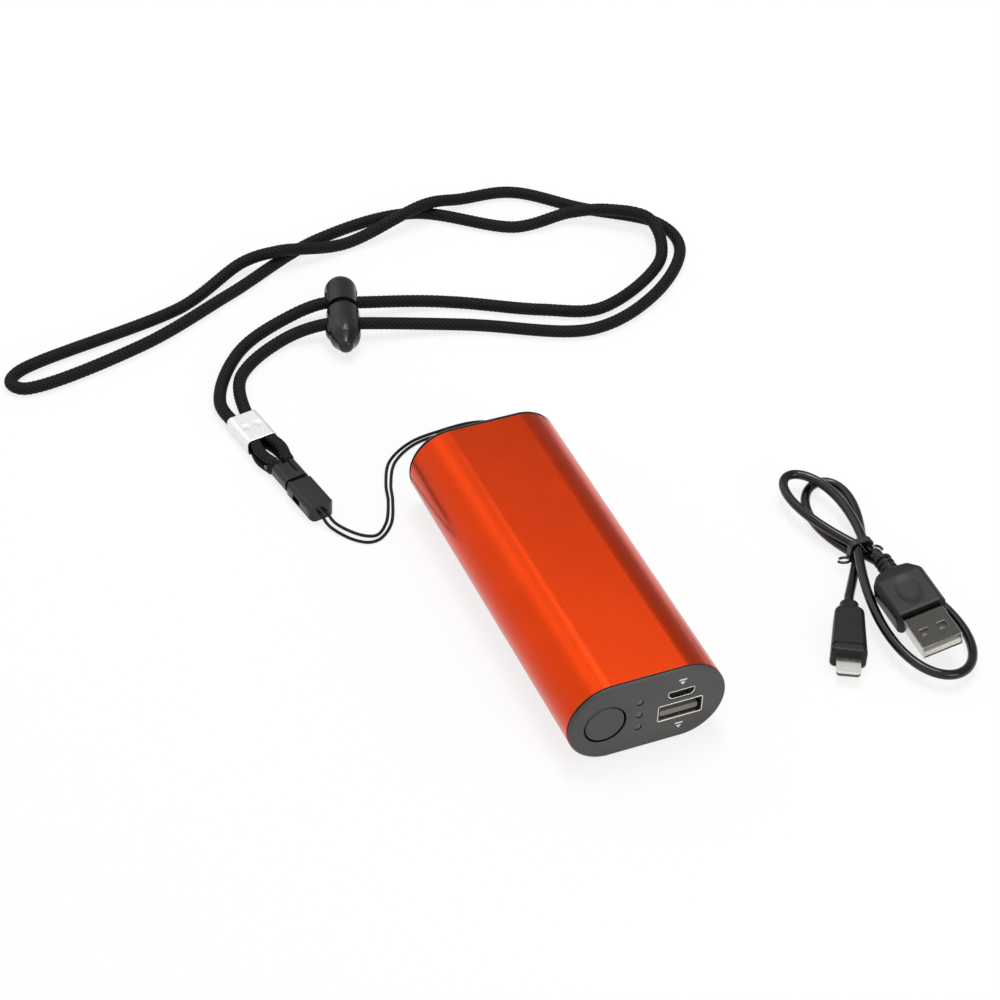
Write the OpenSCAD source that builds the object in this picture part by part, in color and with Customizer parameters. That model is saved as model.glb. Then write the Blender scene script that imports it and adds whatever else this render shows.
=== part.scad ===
// Rechargeable hand warmer with a neck lanyard and its charging lead.
// Millimetres, +Z up. The warmer lies on its flat back, its ports face -Y and its width runs along X.
// The origin is under the middle of the warmer, on the surface it rests on.

/* [Body] */
// Width of the warmer across its rounded sides
body_w = 46; // [42:1:52]
// Thickness of the warmer
body_t = 25; // [24.6:0.2:30]
// Length of the extruded aluminium tube
shell_l = 111.8; // [108:0.2:130]
// Length of the tube in front of the cells, where the boards and sockets are
front_room = 37.4; // [36:0.2:46]
// Length of the tube behind the cells
rear_room = 9.4; // [9.2:0.2:14]
// Wall of the extruded tube
shell_wall = 1.3; // [1.0:0.1:1.5]

/* [End caps] */
// Thickness of the rubber ring between the tube and each cap
seal_t = 0.3; // [0.2:0.05:0.8]
// How far each cap stands out past its rubber ring
cap_proud = 1.2; // [1.0:0.1:2.4]
// Rounding of the outer edge of each cap
cap_edge = 0.9; // [0.3:0.1:0.9]
// Thickness of the cap's end wall
cap_face_t = 2.2; // [2.0:0.1:2.6]
// Depth of the cap's skirt inside the tube
skirt_l = 4; // [3:0.5:5]
// Wall of the cap's skirt
skirt_wall = 1.4; // [1.0:0.1:1.6]

/* [Button and lights] */
// Diameter of the power button
button_d = 11.4; // [9:0.1:12]
// Width of the groove round the button
button_gap = 0.3; // [0.2:0.05:0.6]
// Travel of the button
button_travel = 0.5; // [0.3:0.1:0.5]
// Distance from the warmer's left end to the middle of the button
button_in = 10.5; // [9.5:0.5:12]
// Diameter of each charge light
light_d = 1.8; // [1.2:0.1:2.4]
// Distance between charge lights
light_pitch = 4.5; // [3.5:0.1:4.6]
// Distance from the middle of the button to the row of lights
light_out = 9.9; // [9.5:0.1:10.5]

/* [Ports] */
// Width of the USB-A socket's metal shell
usb_a_w = 13.2; // [13:0.1:13.6]
// Height of the USB-A socket's metal shell
usb_a_h = 5.7; // [5.5:0.1:6]
// Depth of the USB-A socket
usb_a_l = 14; // [12:0.5:16]
// Distance from the warmer's right end to the middle of both sockets
port_in = 13.4; // [13:0.1:14]
// How far the middle of the USB-A socket lies below the warmer's middle
usb_a_drop = 2; // [1.5:0.1:2.5]
// Width of the micro-USB socket's metal shell
micro_w = 8; // [7.6:0.1:8.4]
// Height of the micro-USB socket's metal shell
micro_h = 2.8; // [2.6:0.1:3]
// Depth of the micro-USB socket
micro_l = 5.6; // [5:0.2:7]

/* [Cells and heaters] */
// Room between each cell and the pads above and below it
cell_room = 0.45; // [0.45:0.05:0.8]
// Thickness of each heater film
heater_t = 0.4; // [0.2:0.1:0.6]
// Thickness of the pad under each heater film
pad_t = 1.2; // [0.8:0.1:1.4]

/* [Lanyard] */
// Diameter of the braided neck cord
cord_d = 4; // [3.4:0.1:4]
// Diameter of the thin strap string
string_d = 1; // [0.8:0.1:1.1]
// Width of the snap buckle
buckle_w = 8.4; // [8:0.2:9.4]
// Thickness of the snap buckle
buckle_t = 5.2; // [5:0.1:5.6]
// Length of the buckle's socket
socket_l = 13.6; // [12.6:0.2:16]
// Length of the metal crimp on the cord ends
crimp_l = 12.7; // [12:0.1:14]
// Outer diameter of the cord lock
lock_d = 10.4; // [10.2:0.1:10.6]
// Travel of the cord lock's button
lock_travel = 2; // [1:0.5:2]

/* [Charging lead] */
// Diameter of the charging cable
cable_d = 2.8; // [2.4:0.1:2.8]
// Width of the grip on the micro-USB plug
micro_grip_w = 10.2; // [9.6:0.2:10.8]
// Thickness of the grip on the micro-USB plug
micro_grip_t = 7; // [6:0.2:7]
// Width of the grip on the USB-A plug
usb_grip_w = 15.6; // [15:0.2:16]
// Thickness of the grip on the USB-A plug
usb_grip_t = 8; // [7.2:0.2:8]

/* [Hidden] */
$fn = 64;

// One overrun serves every cut
cut = 0.5;
// Play between pieces that are fitted together by hand
play = 0.1;

// Planes of the warmer that follow from the body
mid_z = body_t / 2;
shell_end = shell_l / 2;
button_x = button_in - body_w / 2;
light_x = button_x + light_out;
port_x = body_w / 2 - port_in;
cap_seat = shell_end + seal_t;
face_y = cap_seat + cap_proud;
cap_back = face_y - cap_face_t;
skirt_end = shell_end - skirt_l;
inner_w = body_w - 2 * shell_wall;
inner_t = body_t - 2 * shell_wall;
plug_w = inner_w - 2 * play;
plug_t = inner_t - 2 * play;

// Button stack, from the face inwards
button_edge = 0.3;
button_l = 3.0;
button_flange_w = 0.9;
button_flange_t = 0.8;
button_stem_d = 3;
button_stem_l = 0.6;
button_z = mid_z;
plunger_d = 2.2;
plunger_l = 1.3;
switch_w = 4.6;
switch_t = 1.6;
switch_floor = 0.3;
plunger_bite = switch_t - switch_floor - button_travel - play;
board_t = 1.6;
small_board_t = 1.2;
board_lip = 1;
board_margin = 2.7;
button_board_h = 11.6;
button_board_x0 = button_x - switch_w / 2 - board_margin;
plunger_y0 = -face_y + button_l + button_stem_l;
switch_y0 = plunger_y0 + plunger_l - plunger_bite;
button_board_y = switch_y0 + switch_t;
led_w = 1.6;
led_t = 0.7;
guide_web_w = 2.2;
guide_web_t = 0.9;
guide_l = 4.8;
button_board_w = light_x + guide_web_w / 2 + board_lip - button_board_x0;

// Main board and sockets
socket_wall = 0.3;
socket_set_back = 0.1;
port_gap = 0.12;
usb_tongue_w = 11.1;
usb_tongue_t = 1.84;
usb_tongue_l = 9.4;
usb_tongue_drop = 0.95;
usb_block_l = 3.4;
contact_w = 1.1;
contact_t = 0.2;
contact_pitch = 2.5;
contact_l = 7;
micro_chamfer_share = 0.36;
micro_tongue_w = 4.2;
micro_tongue_t = 0.7;
micro_block_l = 1.4;
usb_a_z = mid_z - usb_a_drop;
board_z = usb_a_z + usb_a_h / 2;
micro_z = board_z + board_t + micro_h / 2;
board_side = 2.5;
board_half_w = inner_w / 2 - board_side;
board_front = -face_y + cap_face_t + play;
board_back = 5;
board_end = front_room - shell_end - board_back;
board_step = 0.9;
chip_w = 5;
chip_t = 1.1;
small_chip_w = 1.6;
small_chip_l = 2.4;
// Places of the larger and the smaller chips: across half the board, and along it from its rear end
chip_shares = [[-0.62, 0.59], [-0.16, 0.59], [0.36, 0.64]];
small_chip_shares = [[-0.7, 0.41], [-0.53, 0.41], [-0.37, 0.41], [-0.2, 0.41]];
inductor_shares = [0.39, 0.34];
inductor_w = 6.2;
inductor_t = 3;
jst_w = 7.4;
jst_l = 5.4;
jst_t = 4.2;

// Cells, brackets and heaters
cell_d = inner_t - 2 * (heater_t + pad_t + cell_room);
cell_l = shell_l - front_room - rear_room;
cell_gap = 0.3;
cell_x = (cell_d + cell_gap) / 2;
cell_nub_d = 5.6;
cell_nub_l = 0.8;
cell_groove = 0.5;
cell_y0 = front_room - shell_end;
cell_y1 = cell_y0 + cell_l;
bracket_t = 4;
bracket_bite = 2;
bracket_gap = 0.2;
cell_pocket_play = 0.1;
bracket_window_share = 0.66;
wire_notch_w = 5;
wire_notch_d = 3.2;
strip_w = 8;
strip_t = 0.3;
arm_w = 5;
arm_l = front_room / 2;
arm_t = 3;
screw_in = 2;
arm_x = board_half_w - screw_in;
screw_d = 1.9;
screw_l = 4.4;
screw_head_d = 3.6;
screw_head_t = 1.3;
screw_slot_w = 0.5;
heater_side = 0.5;
heater_end = 3;
heater_w = body_w - body_t - 2 * heater_side;
heater_l = cell_l - 2 * heater_end;
sensor_d = 2.2;
sensor_l = 6;
wire_d = 1.2;
thin_wire_d = 0.8;
wire_gap = 0.5;
wire_sides = 8;

// Strap pin in the rear cap
strap_x = (body_w - body_t) / 2;
pocket_d = 6.4;
pocket_l = 4.4;
boss_d = 9.6;
boss_l = 5.6;
pin_d = 1.6;
pin_depth = 2.2;
pin_l = 8.2;
pin_play = 0.02;

// Buckle, cord wraps and crimp lie on one line; the line starts where the buckle's halves meet
strap_turn = 9.8;
strap_at = [-51, 72.8];
strap_z = 2.8;
buckle_round = 1.6;
buckle_nose_r = 2.4;
socket_bore_w = 6.6;
socket_bore_t = 3.4;
socket_bore_l = 9.8;
window_l = 4;
window_y = -3.2;
window_h = 2.2;
string_hole_gap = 0.9;
string_hole_l = 3;
string_play = 0.1;
leg_w = 1.2;
leg_t = 2.6;
leg_l = 9;
leg_slope = 1;
key_w = 1.6;
key_l = 7;
half_gap = 0.15;
notch_l = 1.5;
notch_w = 6.6;
neck_w = 7.8;
neck_l = 8;
neck_t = 4.8;
neck_panel_w = 3.4;
neck_panel_d = 0.7;
bar_d = 1.6;
bar_l = 9.2;
web_w = 1.2;
web_t = 1.6;
wrap_w = 3.7;
wrap_t = 1.5;
wrap_x = 2.55;
wrap_bite = 5;
wrap_round = 0.7;
neck_end = half_gap + notch_l + neck_l;
bar_gap = 0.3;
bar_y = neck_end + bar_gap + wrap_t + play + bar_d / 2;
crimp_y = 22.3;
crimp_w = 10.1;
crimp_t = 5.6;
crimp_wall = 0.35;
crimp_round = 1.5;
crimp_seam = 0.4;
crimp_dent_d = 2.6;
crimp_dent = 0.15;
crimp_dent_share = 0.2;

// Cord lock: its line runs from the dome to the tail
lock_turn = -17;
lock_at = [-11, 144];
lock_z = lock_d / 2;
lock_hole_play = 0.4;
lock_hole_d = cord_d + 2 * lock_hole_play;
lock_hole_y = 5.5;
lock_wall = 0.7;
lock_dome_end = 16.2;
lock_shoulder = -0.5;
lock_sleeve_d = 8.6;
lock_sleeve_end = 9.2;
lock_bore_d = 7.2;
lock_shank_d = 7;
lock_shank_end = -9.2;
lock_bore_end = -12.9;
lock_gap = 0.3;
lock_skirt_end = lock_shoulder + lock_travel + lock_gap;
lock_roof = lock_sleeve_end + lock_travel + lock_gap;
lock_tail_end = -18.3;
lock_ear_d = 7;
lock_ear_x = -2.4;
lock_ear_end = -13.4;
// Radius against the barrel's, and way from the bore's end to the tip
tail_shares = [[0, 1], [0.26, 0.97], [0.42, 0.85], [0.5, 0.65], [0.7, 0.35], [0.86, 0.13], [0.95, -0.2]];
// Radius against the ear's, and way from the ear's end in diameters
ear_shares = [[0, 0], [0.4, 0.04], [0.76, 0.2], [1, 0.5]];
spring_d = 6.2;
spring_wire = 0.5;
spring_turns = 2;
spring_sides = 6;
spring_rings = 12;
spring_l = 1.6;

// Charging lead: plugs, tie and the slots of the four runs in the tie
tie_at = [89.6, -11.5];
tie_wall = 0.5;
tie_l = 2;
tie_straight = 1.5;
run_room = 0.6;
run_gap = cable_d + run_room;
run_low = cable_d / 2 + tie_wall + play;
run_high = run_low + run_gap;
curl_r = 1.8;
curl_d = 0.8;
micro_plug_at = [64.9, -50.6];
micro_plug_turn = -28.5;
micro_grip_l = 19.5;
micro_grip_rear_share = 0.8;
micro_grip_round = 1.6;
micro_neck_w = 6.4;
micro_neck_t = 5;
micro_neck_l = 3.2;
micro_tip_w = 6.85;
micro_tip_t = 1.8;
micro_tip_l = 6;
micro_tip_bite = 3;
tip_wall = 0.25;
usb_plug_at = [89, -59.3];
usb_plug_z = 8.4;
usb_plug_turn = -2;
usb_plug_roll = -12;
usb_shell_wall = 0.3;
usb_shell_w = 12;
usb_shell_t = 4.5;
usb_shell_l = 12.5;
usb_shell_bite = 3;
usb_hole_w = 2.5;
usb_hole_y = 5.2;
usb_hole_x = 2.7;
usb_grip_l = 18.5;
usb_grip_round = 2.4;
usb_taper_l = 4;
relief_d = 5.4;
relief_tip_d = 4.2;
relief_l = 6;
relief_ribs = 3;
relief_rib_l = 0.8;

// Route of the neck cord, from the crimp round the loop and back to the crimp
neck_route = [
    [-58.5, 102.5, 2.8], [-60, 119, 2], [-46, 141, 2], [-28, 150.5, 2.8], [-15, 151, 5.2],
    [-4, 147.5, 5.2], [20, 143.5, 2.2], [50, 128, 2], [68, 122, 2], [98, 140, 2],
    [101.5, 157, 5.6], [91, 165.5, 6.1], [80, 172, 3.4], [60, 172.5, 2], [31, 191.5, 2],
    [-2.5, 188.5, 2], [-39.5, 170, 2], [-74, 154, 2], [-113.5, 146, 2], [-116.5, 150, 2],
    [-113, 154.5, 2], [-56.5, 168.5, 2], [-30, 183, 3.6], [-19.5, 180.8, 6.4], [4, 182.5, 2.4],
    [34.8, 189, 6.4], [49, 192.5, 2.8], [66.5, 191.5, 2], [85, 175, 2], [105.5, 158, 2],
    [106.5, 143.5, 2], [88, 123, 2], [61, 113, 2], [24, 129, 2.2], [-7, 137, 5.2],
    [-18, 140.5, 5.2], [-31, 141.5, 2.4], [-50, 128.5, 2], [-54.5, 110, 2.4], [-54, 103, 2.8]
];
neck_sides = 10;
neck_pitch = 2.5 * cord_d;

// Route of the strap string, from the buckle round the strap pin and back to the buckle
string_route = [
    [-50, 61.8, 2.8], [-49.5, 58.7, 2.8], [-48.5, 54.8, 1.3], [-44, 47.8, 0.5], [-40, 44.8, 0.5],
    [-36.5, 45, 0.5], [-31.3, 49.7, 0.5], [-27, 59.3, 0.5], [-24.8, 66.5, 0.5], [-20, 75.5, 0.5],
    [-11.5, 81.3, 0.5], [-3, 82.6, 0.6], [4, 81, 2.2], [8, 75.5, 6], [9.1, 67, 10.6],
    [9, 58.5, 12.5], [9, 55.2, 12.5], [9.4, 54.1, 12.5], [10.5, 53.7, 12.5], [11.6, 54.1, 12.5],
    [12, 55.2, 12.5], [12, 58.5, 12.5], [11.9, 67, 10.8], [10.8, 76.5, 6.4], [6.5, 82.8, 2.4], [-2, 84.2, 0.8], [-12, 82.7, 0.5],
    [-21.4, 76.4, 0.5], [-26.2, 66.9, 0.5], [-28.3, 59.6, 0.5], [-32.5, 50.7, 0.5],
    [-36.8, 46.9, 0.5], [-40.5, 48.2, 0.5], [-46.3, 55, 1.3], [-47.7, 59, 2.8], [-48.2, 62.1, 2.8]
];
string_sides = 8;
string_pitch = 3 * string_d;

// Handles that give each loop of the lead its reach and its width, from the tie outwards
wide_loop = [[-17, 36.5, -0.6], [25, 47, -0.6]];
thin_loop = [[-24.5, 42.5, 1.1], [12, 47, -1.1]];
low_loop = [[36.5, -65.5, 0.1], [-33.5, -78, 1]];
micro_pull = 0.5;
usb_pull = 2.5;
loop_rings = 24;
link_rings = 7;
cable_sides = 6;

// A flat-sided form with fully round ends, seen along Y
module stadium(w, t) {
    square([w - t, t], center = true);
    for (side = [-1, 1])
        translate([side * (w - t) / 2, 0]) circle(d = t);
}

// A rectangle with round corners, centred
module round_rect(w, h, r) {
    square([w - 2 * r, h], center = true);
    square([w, h - 2 * r], center = true);
    for (sx = [-1, 1], sy = [-1, 1])
        translate([sx * (w / 2 - r), sy * (h / 2 - r)]) circle(r = r, $fn = 32);
}

// Extrudes an outline drawn in X and Z from y0 along +Y
module run_y(y0, len) {
    translate([0, y0 + len, 0]) rotate([90, 0, 0]) linear_extrude(len) children();
}

// The front cap's frame: its own Z points out of the front, its origin is on the seal's plane
module on_front() {
    translate([0, -cap_seat, mid_z]) rotate([90, 0, 0]) children();
}

module on_rear() {
    mirror([0, 1, 0]) on_front() children();
}

// Half of a disc's section with its outer corner rounded
module edge_section(r, h, e) {
    square([r - e, h]);
    square([r, h - e]);
    intersection() {
        translate([r - e, h - e]) circle(r = e, $fn = 32);
        square([r, h]);
    }
}

// A plate with round ends and a rounded outer edge
module pill_plate(w, t, h, e) {
    for (side = [-1, 1])
        translate([side * (w - t) / 2, 0, 0]) rotate_extrude() edge_section(t / 2, h, e);
    translate([-(w - t) / 2, 0, 0]) rotate([90, 0, 90]) linear_extrude(w - t) {
        edge_section(t / 2, h, e);
        mirror([1, 0]) edge_section(t / 2, h, e);
    }
}

// Plate, plug and skirt that both end caps share
module cap_blank() {
    pill_plate(body_w, body_t, cap_proud, cap_edge);
    translate([0, 0, cap_proud - cap_face_t])
        linear_extrude(cap_face_t - cap_edge) stadium(plug_w, plug_t);
    translate([0, 0, skirt_end - cap_seat]) linear_extrude(cap_seat - skirt_end)
        difference() {
            stadium(plug_w, plug_t);
            stadium(plug_w - 2 * skirt_wall, plug_t - 2 * skirt_wall);
        }
}

// Outline of the micro-USB shell, its narrow side down, grown by g
module micro_outline(g) {
    w = micro_w / 2 + g;
    h = micro_h / 2 + g;
    c = micro_h * micro_chamfer_share;
    polygon([[-w, h], [w, h], [w, c - h], [w - c, -h], [c - w, -h], [-w, c - h]]);
}

module shell() {
    color("#D5400F") translate([0, 0, mid_z]) run_y(-shell_end, shell_l) difference() {
        stadium(body_w, body_t);
        stadium(inner_w, inner_t);
    }
}

module front_cap() {
    color("#55534F") on_front() difference() {
        cap_blank();
        translate([button_x, button_z - mid_z, -skirt_l])
            cylinder(h = 2 * skirt_l, d = button_d + 2 * button_gap);
        for (i = [-1, 0, 1])
            translate([light_x, i * light_pitch, -skirt_l])
                cylinder(h = 2 * skirt_l, d = light_d + 2 * play, $fn = 32);
        translate([port_x, usb_a_z - mid_z, -skirt_l]) linear_extrude(2 * skirt_l)
            square([usb_a_w + 2 * port_gap, usb_a_h + 2 * port_gap], center = true);
        translate([port_x, micro_z - mid_z, -skirt_l]) linear_extrude(2 * skirt_l)
            micro_outline(port_gap);
    }
}

module rear_cap() {
    color("#55534F") on_rear() difference() {
        union() {
            cap_blank();
            translate([strap_x, 0, cap_proud - boss_l]) cylinder(h = boss_l - cap_edge, d = boss_d);
        }
        translate([strap_x, 0, cap_proud - pocket_l]) cylinder(h = pocket_l + cut, d = pocket_d);
        translate([strap_x, pin_l / 2, cap_proud - pin_depth]) rotate([90, 0, 0])
            cylinder(h = pin_l, d = pin_d + 2 * pin_play, $fn = 32);
    }
}

module seal_ring() {
    linear_extrude(seal_t) difference() {
        stadium(body_w - 2 * play, body_t - 2 * play);
        stadium(plug_w + play, plug_t + play);
    }
}

module front_seal() {
    color("#1B1A19") on_front() translate([0, 0, -seal_t]) seal_ring();
}

module rear_seal() {
    color("#1B1A19") on_rear() translate([0, 0, -seal_t]) seal_ring();
}

module power_button() {
    top = 0;
    flange_top = cap_back - face_y - play / 2;
    stem_top = -button_l;
    flange_r = button_d / 2 + button_flange_w;
    color("#55534F") translate([button_x, -face_y, button_z]) rotate([90, 0, 0]) rotate_extrude()
        polygon([
            [0, stem_top - button_stem_l], [button_stem_d / 2, stem_top - button_stem_l],
            [button_stem_d / 2, stem_top], [flange_r, stem_top],
            [flange_r, flange_top], [button_d / 2, flange_top],
            [button_d / 2, top - button_edge], [button_d / 2 - button_edge, top], [0, top]
        ]);
}

module tact_plunger() {
    color("#D8D4C6") translate([button_x, plunger_y0 + plunger_l, button_z]) rotate([90, 0, 0])
        cylinder(h = plunger_l, d = plunger_d, $fn = 32);
}

module tact_switch() {
    color("#2B2B2D") translate([button_x, 0, button_z]) difference() {
        run_y(switch_y0, switch_t) round_rect(switch_w, switch_w, 0.1 * switch_w);
        translate([0, button_board_y - switch_floor, 0]) rotate([90, 0, 0])
            cylinder(h = switch_t, d = plunger_d + 2 * play, $fn = 32);
    }
}

module button_board() {
    color("#1F5B3A") translate([button_board_x0 + button_board_w / 2, 0, mid_z])
        run_y(button_board_y, small_board_t) square([button_board_w, button_board_h], center = true);
}

module charge_leds() {
    color("#F2F2EC") for (i = [-1, 0, 1])
        translate([light_x, 0, mid_z + i * light_pitch])
            run_y(button_board_y - led_t, led_t) square([led_w, led_w], center = true);
}

module light_guide() {
    web_y = -cap_back + play;
    web_h = 2 * light_pitch + guide_web_w;
    color([0.92, 0.94, 0.95, 0.6]) {
        for (i = [-1, 0, 1])
            translate([light_x, guide_l - face_y, mid_z + i * light_pitch]) rotate([90, 0, 0])
                cylinder(h = guide_l, d = light_d, $fn = 32);
        translate([light_x, 0, mid_z]) run_y(web_y, guide_web_t)
            round_rect(guide_web_w, web_h, guide_web_t / 2);
    }
}

module usb_a_socket() {
    y0 = socket_set_back - face_y;
    color("#C9CBCD") translate([port_x, 0, usb_a_z]) difference() {
        run_y(y0, usb_a_l) square([usb_a_w, usb_a_h], center = true);
        run_y(y0 - cut, usb_a_l - socket_wall + cut)
            square([usb_a_w - 2 * socket_wall, usb_a_h - 2 * socket_wall], center = true);
    }
}

module usb_a_tongue() {
    y1 = socket_set_back - face_y + usb_a_l - socket_wall;
    color("#E9E6DC") translate([port_x, 0, usb_a_z]) {
        run_y(y1 - usb_block_l, usb_block_l)
            square([usb_a_w - 2 * socket_wall - play, usb_a_h - 2 * socket_wall - play], center = true);
        translate([0, 0, -usb_tongue_drop]) run_y(y1 - usb_block_l - usb_tongue_l, usb_tongue_l + cut)
            round_rect(usb_tongue_w, usb_tongue_t, usb_tongue_t / 4);
    }
}

module usb_a_contacts() {
    y1 = socket_set_back - face_y + usb_a_l - socket_wall - usb_block_l;
    z1 = usb_a_z - usb_tongue_drop + usb_tongue_t / 2;
    color("#C9A24A") for (i = [-1.5, -0.5, 0.5, 1.5])
        translate([port_x + i * contact_pitch, 0, z1 + contact_t / 2]) run_y(y1 - contact_l, contact_l)
            square([contact_w, contact_t], center = true);
}

module micro_usb_socket() {
    y0 = socket_set_back - face_y;
    color("#C9CBCD") translate([port_x, 0, micro_z]) difference() {
        run_y(y0, micro_l) micro_outline(0);
        run_y(y0 - cut, micro_l - socket_wall + cut) micro_outline(-socket_wall);
    }
}

module micro_usb_tongue() {
    y1 = socket_set_back - face_y + micro_l - socket_wall;
    color("#26262A") translate([port_x, 0, micro_z]) {
        run_y(y1 - micro_block_l, micro_block_l) micro_outline(-socket_wall - play);
        run_y(y1 - micro_l + 2 * micro_block_l, micro_l - 2 * micro_block_l)
            square([micro_tongue_w, micro_tongue_t], center = true);
    }
}

module main_board() {
    back_of_small = button_board_y + small_board_t;
    step_x = button_board_x0 + button_board_w + board_step;
    color("#1F5B3A") translate([0, 0, board_z]) difference() {
        linear_extrude(board_t) polygon([
            [-board_half_w, back_of_small], [step_x, back_of_small], [step_x, board_front],
            [board_half_w, board_front], [board_half_w, board_end], [-board_half_w, board_end]
        ]);
        for (side = [-1, 1])
            translate([side * arm_x, cell_y0 - bracket_bite - arm_l / 2, -cut])
                cylinder(h = board_t + 2 * cut, d = screw_d + 3 * play, $fn = 32);
    }
}

// Top of the board at a place given in shares
module on_board(place) {
    y = board_end - place[1] * (board_end - board_front);
    translate([place[0] * board_half_w, y, board_z + board_t]) children();
}

// Parts of the power and heater circuit on top of the board
module power_chips() {
    color("#232326") for (share = chip_shares) on_board(share)
        linear_extrude(chip_t) square(chip_w, center = true);
    color("#B9A27A") for (share = small_chip_shares) on_board(share)
        linear_extrude(chip_t) square([small_chip_w, small_chip_l], center = true);
}

module inductor() {
    color("#3A3A3C") on_board(inductor_shares) linear_extrude(inductor_t)
        round_rect(inductor_w, inductor_w, inductor_w / 6);
}

module battery_connector() {
    color("#EDEAE0") translate([0, board_end + play - jst_l / 2, board_z + board_t])
        linear_extrude(jst_t) square([jst_w, jst_l], center = true);
}

module board_screws() {
    top = board_z + board_t;
    color("#B8B9BB") for (side = [-1, 1])
        translate([side * arm_x, cell_y0 - bracket_bite - arm_l / 2, top]) {
            translate([0, 0, -screw_l]) cylinder(h = screw_l, d = screw_d, $fn = 32);
            difference() {
                cylinder(h = screw_head_t, d = screw_head_d, $fn = 32);
                translate([0, 0, screw_head_t])
                    cube([screw_head_d, screw_slot_w, screw_head_t], center = true);
            }
        }
}

// One round cell, its positive end at the front
module cell(x) {
    r = cell_d / 2;
    can = cell_l - cell_nub_l;
    translate([x, cell_y1, mid_z]) rotate([90, 0, 0]) rotate_extrude() polygon([
        [0, 0], [r, 0], [r, can - 4 * cell_groove], [r - cell_groove, can - 3 * cell_groove],
        [r, can - 2 * cell_groove], [r, can], [cell_nub_d / 2, can], [cell_nub_d / 2, cell_l], [0, cell_l]
    ]);
}

module cell_left() {
    color("#2E6FA8") cell(-cell_x);
}

module cell_right() {
    color("#2E6FA8") cell(cell_x);
}

// Plate with two round pockets for the cell ends, drawn with its pockets towards +Y
module bracket_plate() {
    difference() {
        translate([0, 0, mid_z]) run_y(0, bracket_t)
            stadium(inner_w - 2 * bracket_gap, inner_t - 2 * bracket_gap);
        for (side = [-1, 1])
            translate([side * cell_x, bracket_t + cut, mid_z]) rotate([90, 0, 0])
                cylinder(h = bracket_bite + cut, d = cell_d + 2 * cell_pocket_play);
        translate([0, 0, mid_z]) run_y(-cut, bracket_t + 2 * cut)
            stadium(2 * cell_x + cell_d * bracket_window_share, cell_d * bracket_window_share);
        for (side = [-1, 1])
            translate([0, 0, mid_z + side * (inner_t - wire_notch_d) / 2]) run_y(-cut, bracket_t + 2 * cut)
                square([wire_notch_w, wire_notch_d + bracket_gap], center = true);
    }
}

module cell_bracket_front() {
    y0 = cell_y0 + cell_nub_l - bracket_t + bracket_bite;
    color("#3B3B3E") difference() {
        union() {
            translate([0, y0, 0]) bracket_plate();
            for (side = [-1, 1])
                translate([side * arm_x - arm_w / 2, y0 - arm_l, board_z - arm_t])
                    cube([arm_w, arm_l + bracket_bite - play, arm_t]);
        }
        for (side = [-1, 1])
            translate([side * arm_x, cell_y0 - bracket_bite - arm_l / 2, board_z - arm_t - cut])
                cylinder(h = arm_t + 2 * cut, d = screw_d + play, $fn = 32);
    }
}

module cell_bracket_rear() {
    color("#3B3B3E") translate([0, cell_y1 - bracket_bite + bracket_t, 0]) mirror([0, 1, 0]) bracket_plate();
}

module cell_strip() {
    round_rect(2 * cell_x + strip_w, strip_w, strip_w / 5);
}

module cell_strip_front() {
    color("#C6C8C4") translate([0, 0, mid_z]) run_y(cell_y0 - strip_t, strip_t) cell_strip();
}

module cell_strip_rear() {
    color("#C6C8C4") translate([0, 0, mid_z]) run_y(cell_y1, strip_t) cell_strip();
}

// A flat sheet between the two brackets
module warm_sheet(t) {
    translate([-heater_w / 2, (cell_y0 + cell_y1 - heater_l) / 2, 0]) cube([heater_w, heater_l, t]);
}

module heater_top() {
    color("#B5702B") translate([0, 0, body_t - shell_wall - heater_t]) warm_sheet(heater_t);
}

module heater_bottom() {
    color("#B5702B") translate([0, 0, shell_wall]) warm_sheet(heater_t);
}

module heat_pad_top() {
    color("#9FA6AD") translate([0, 0, body_t - shell_wall - heater_t - pad_t]) warm_sheet(pad_t);
}

module heat_pad_bottom() {
    color("#9FA6AD") translate([0, 0, shell_wall + heater_t]) warm_sheet(pad_t);
}

sensor_z = body_t - shell_wall - heater_t - pad_t - sensor_d / 2;
sensor_y = (cell_y0 + cell_y1 - heater_l) / 2 + sensor_l;

module temperature_sensor() {
    back = board_end - jst_l;
    top = board_z + board_t;
    color("#3C2A22") translate([0, sensor_y + sensor_l / 2, sensor_z]) rotate([90, 0, 0]) {
        cylinder(h = sensor_l / 2, d = sensor_d, $fn = 32);
        sphere(d = sensor_d, $fn = 32);
    }
    color("#C8C3B4") for (side = [-1, 1])
        tube([
            [side * wire_gap, sensor_y, sensor_z], [side * wire_gap, back, sensor_z],
            [side * wire_gap, back - sensor_d, sensor_z - sensor_d / 2],
            [side * wire_gap, back - 1.5 * sensor_d, sensor_z - 1.5 * sensor_d],
            [side * wire_gap, back - 2 * sensor_d, top + thin_wire_d]
        ], thin_wire_d, wire_sides);
}

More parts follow.
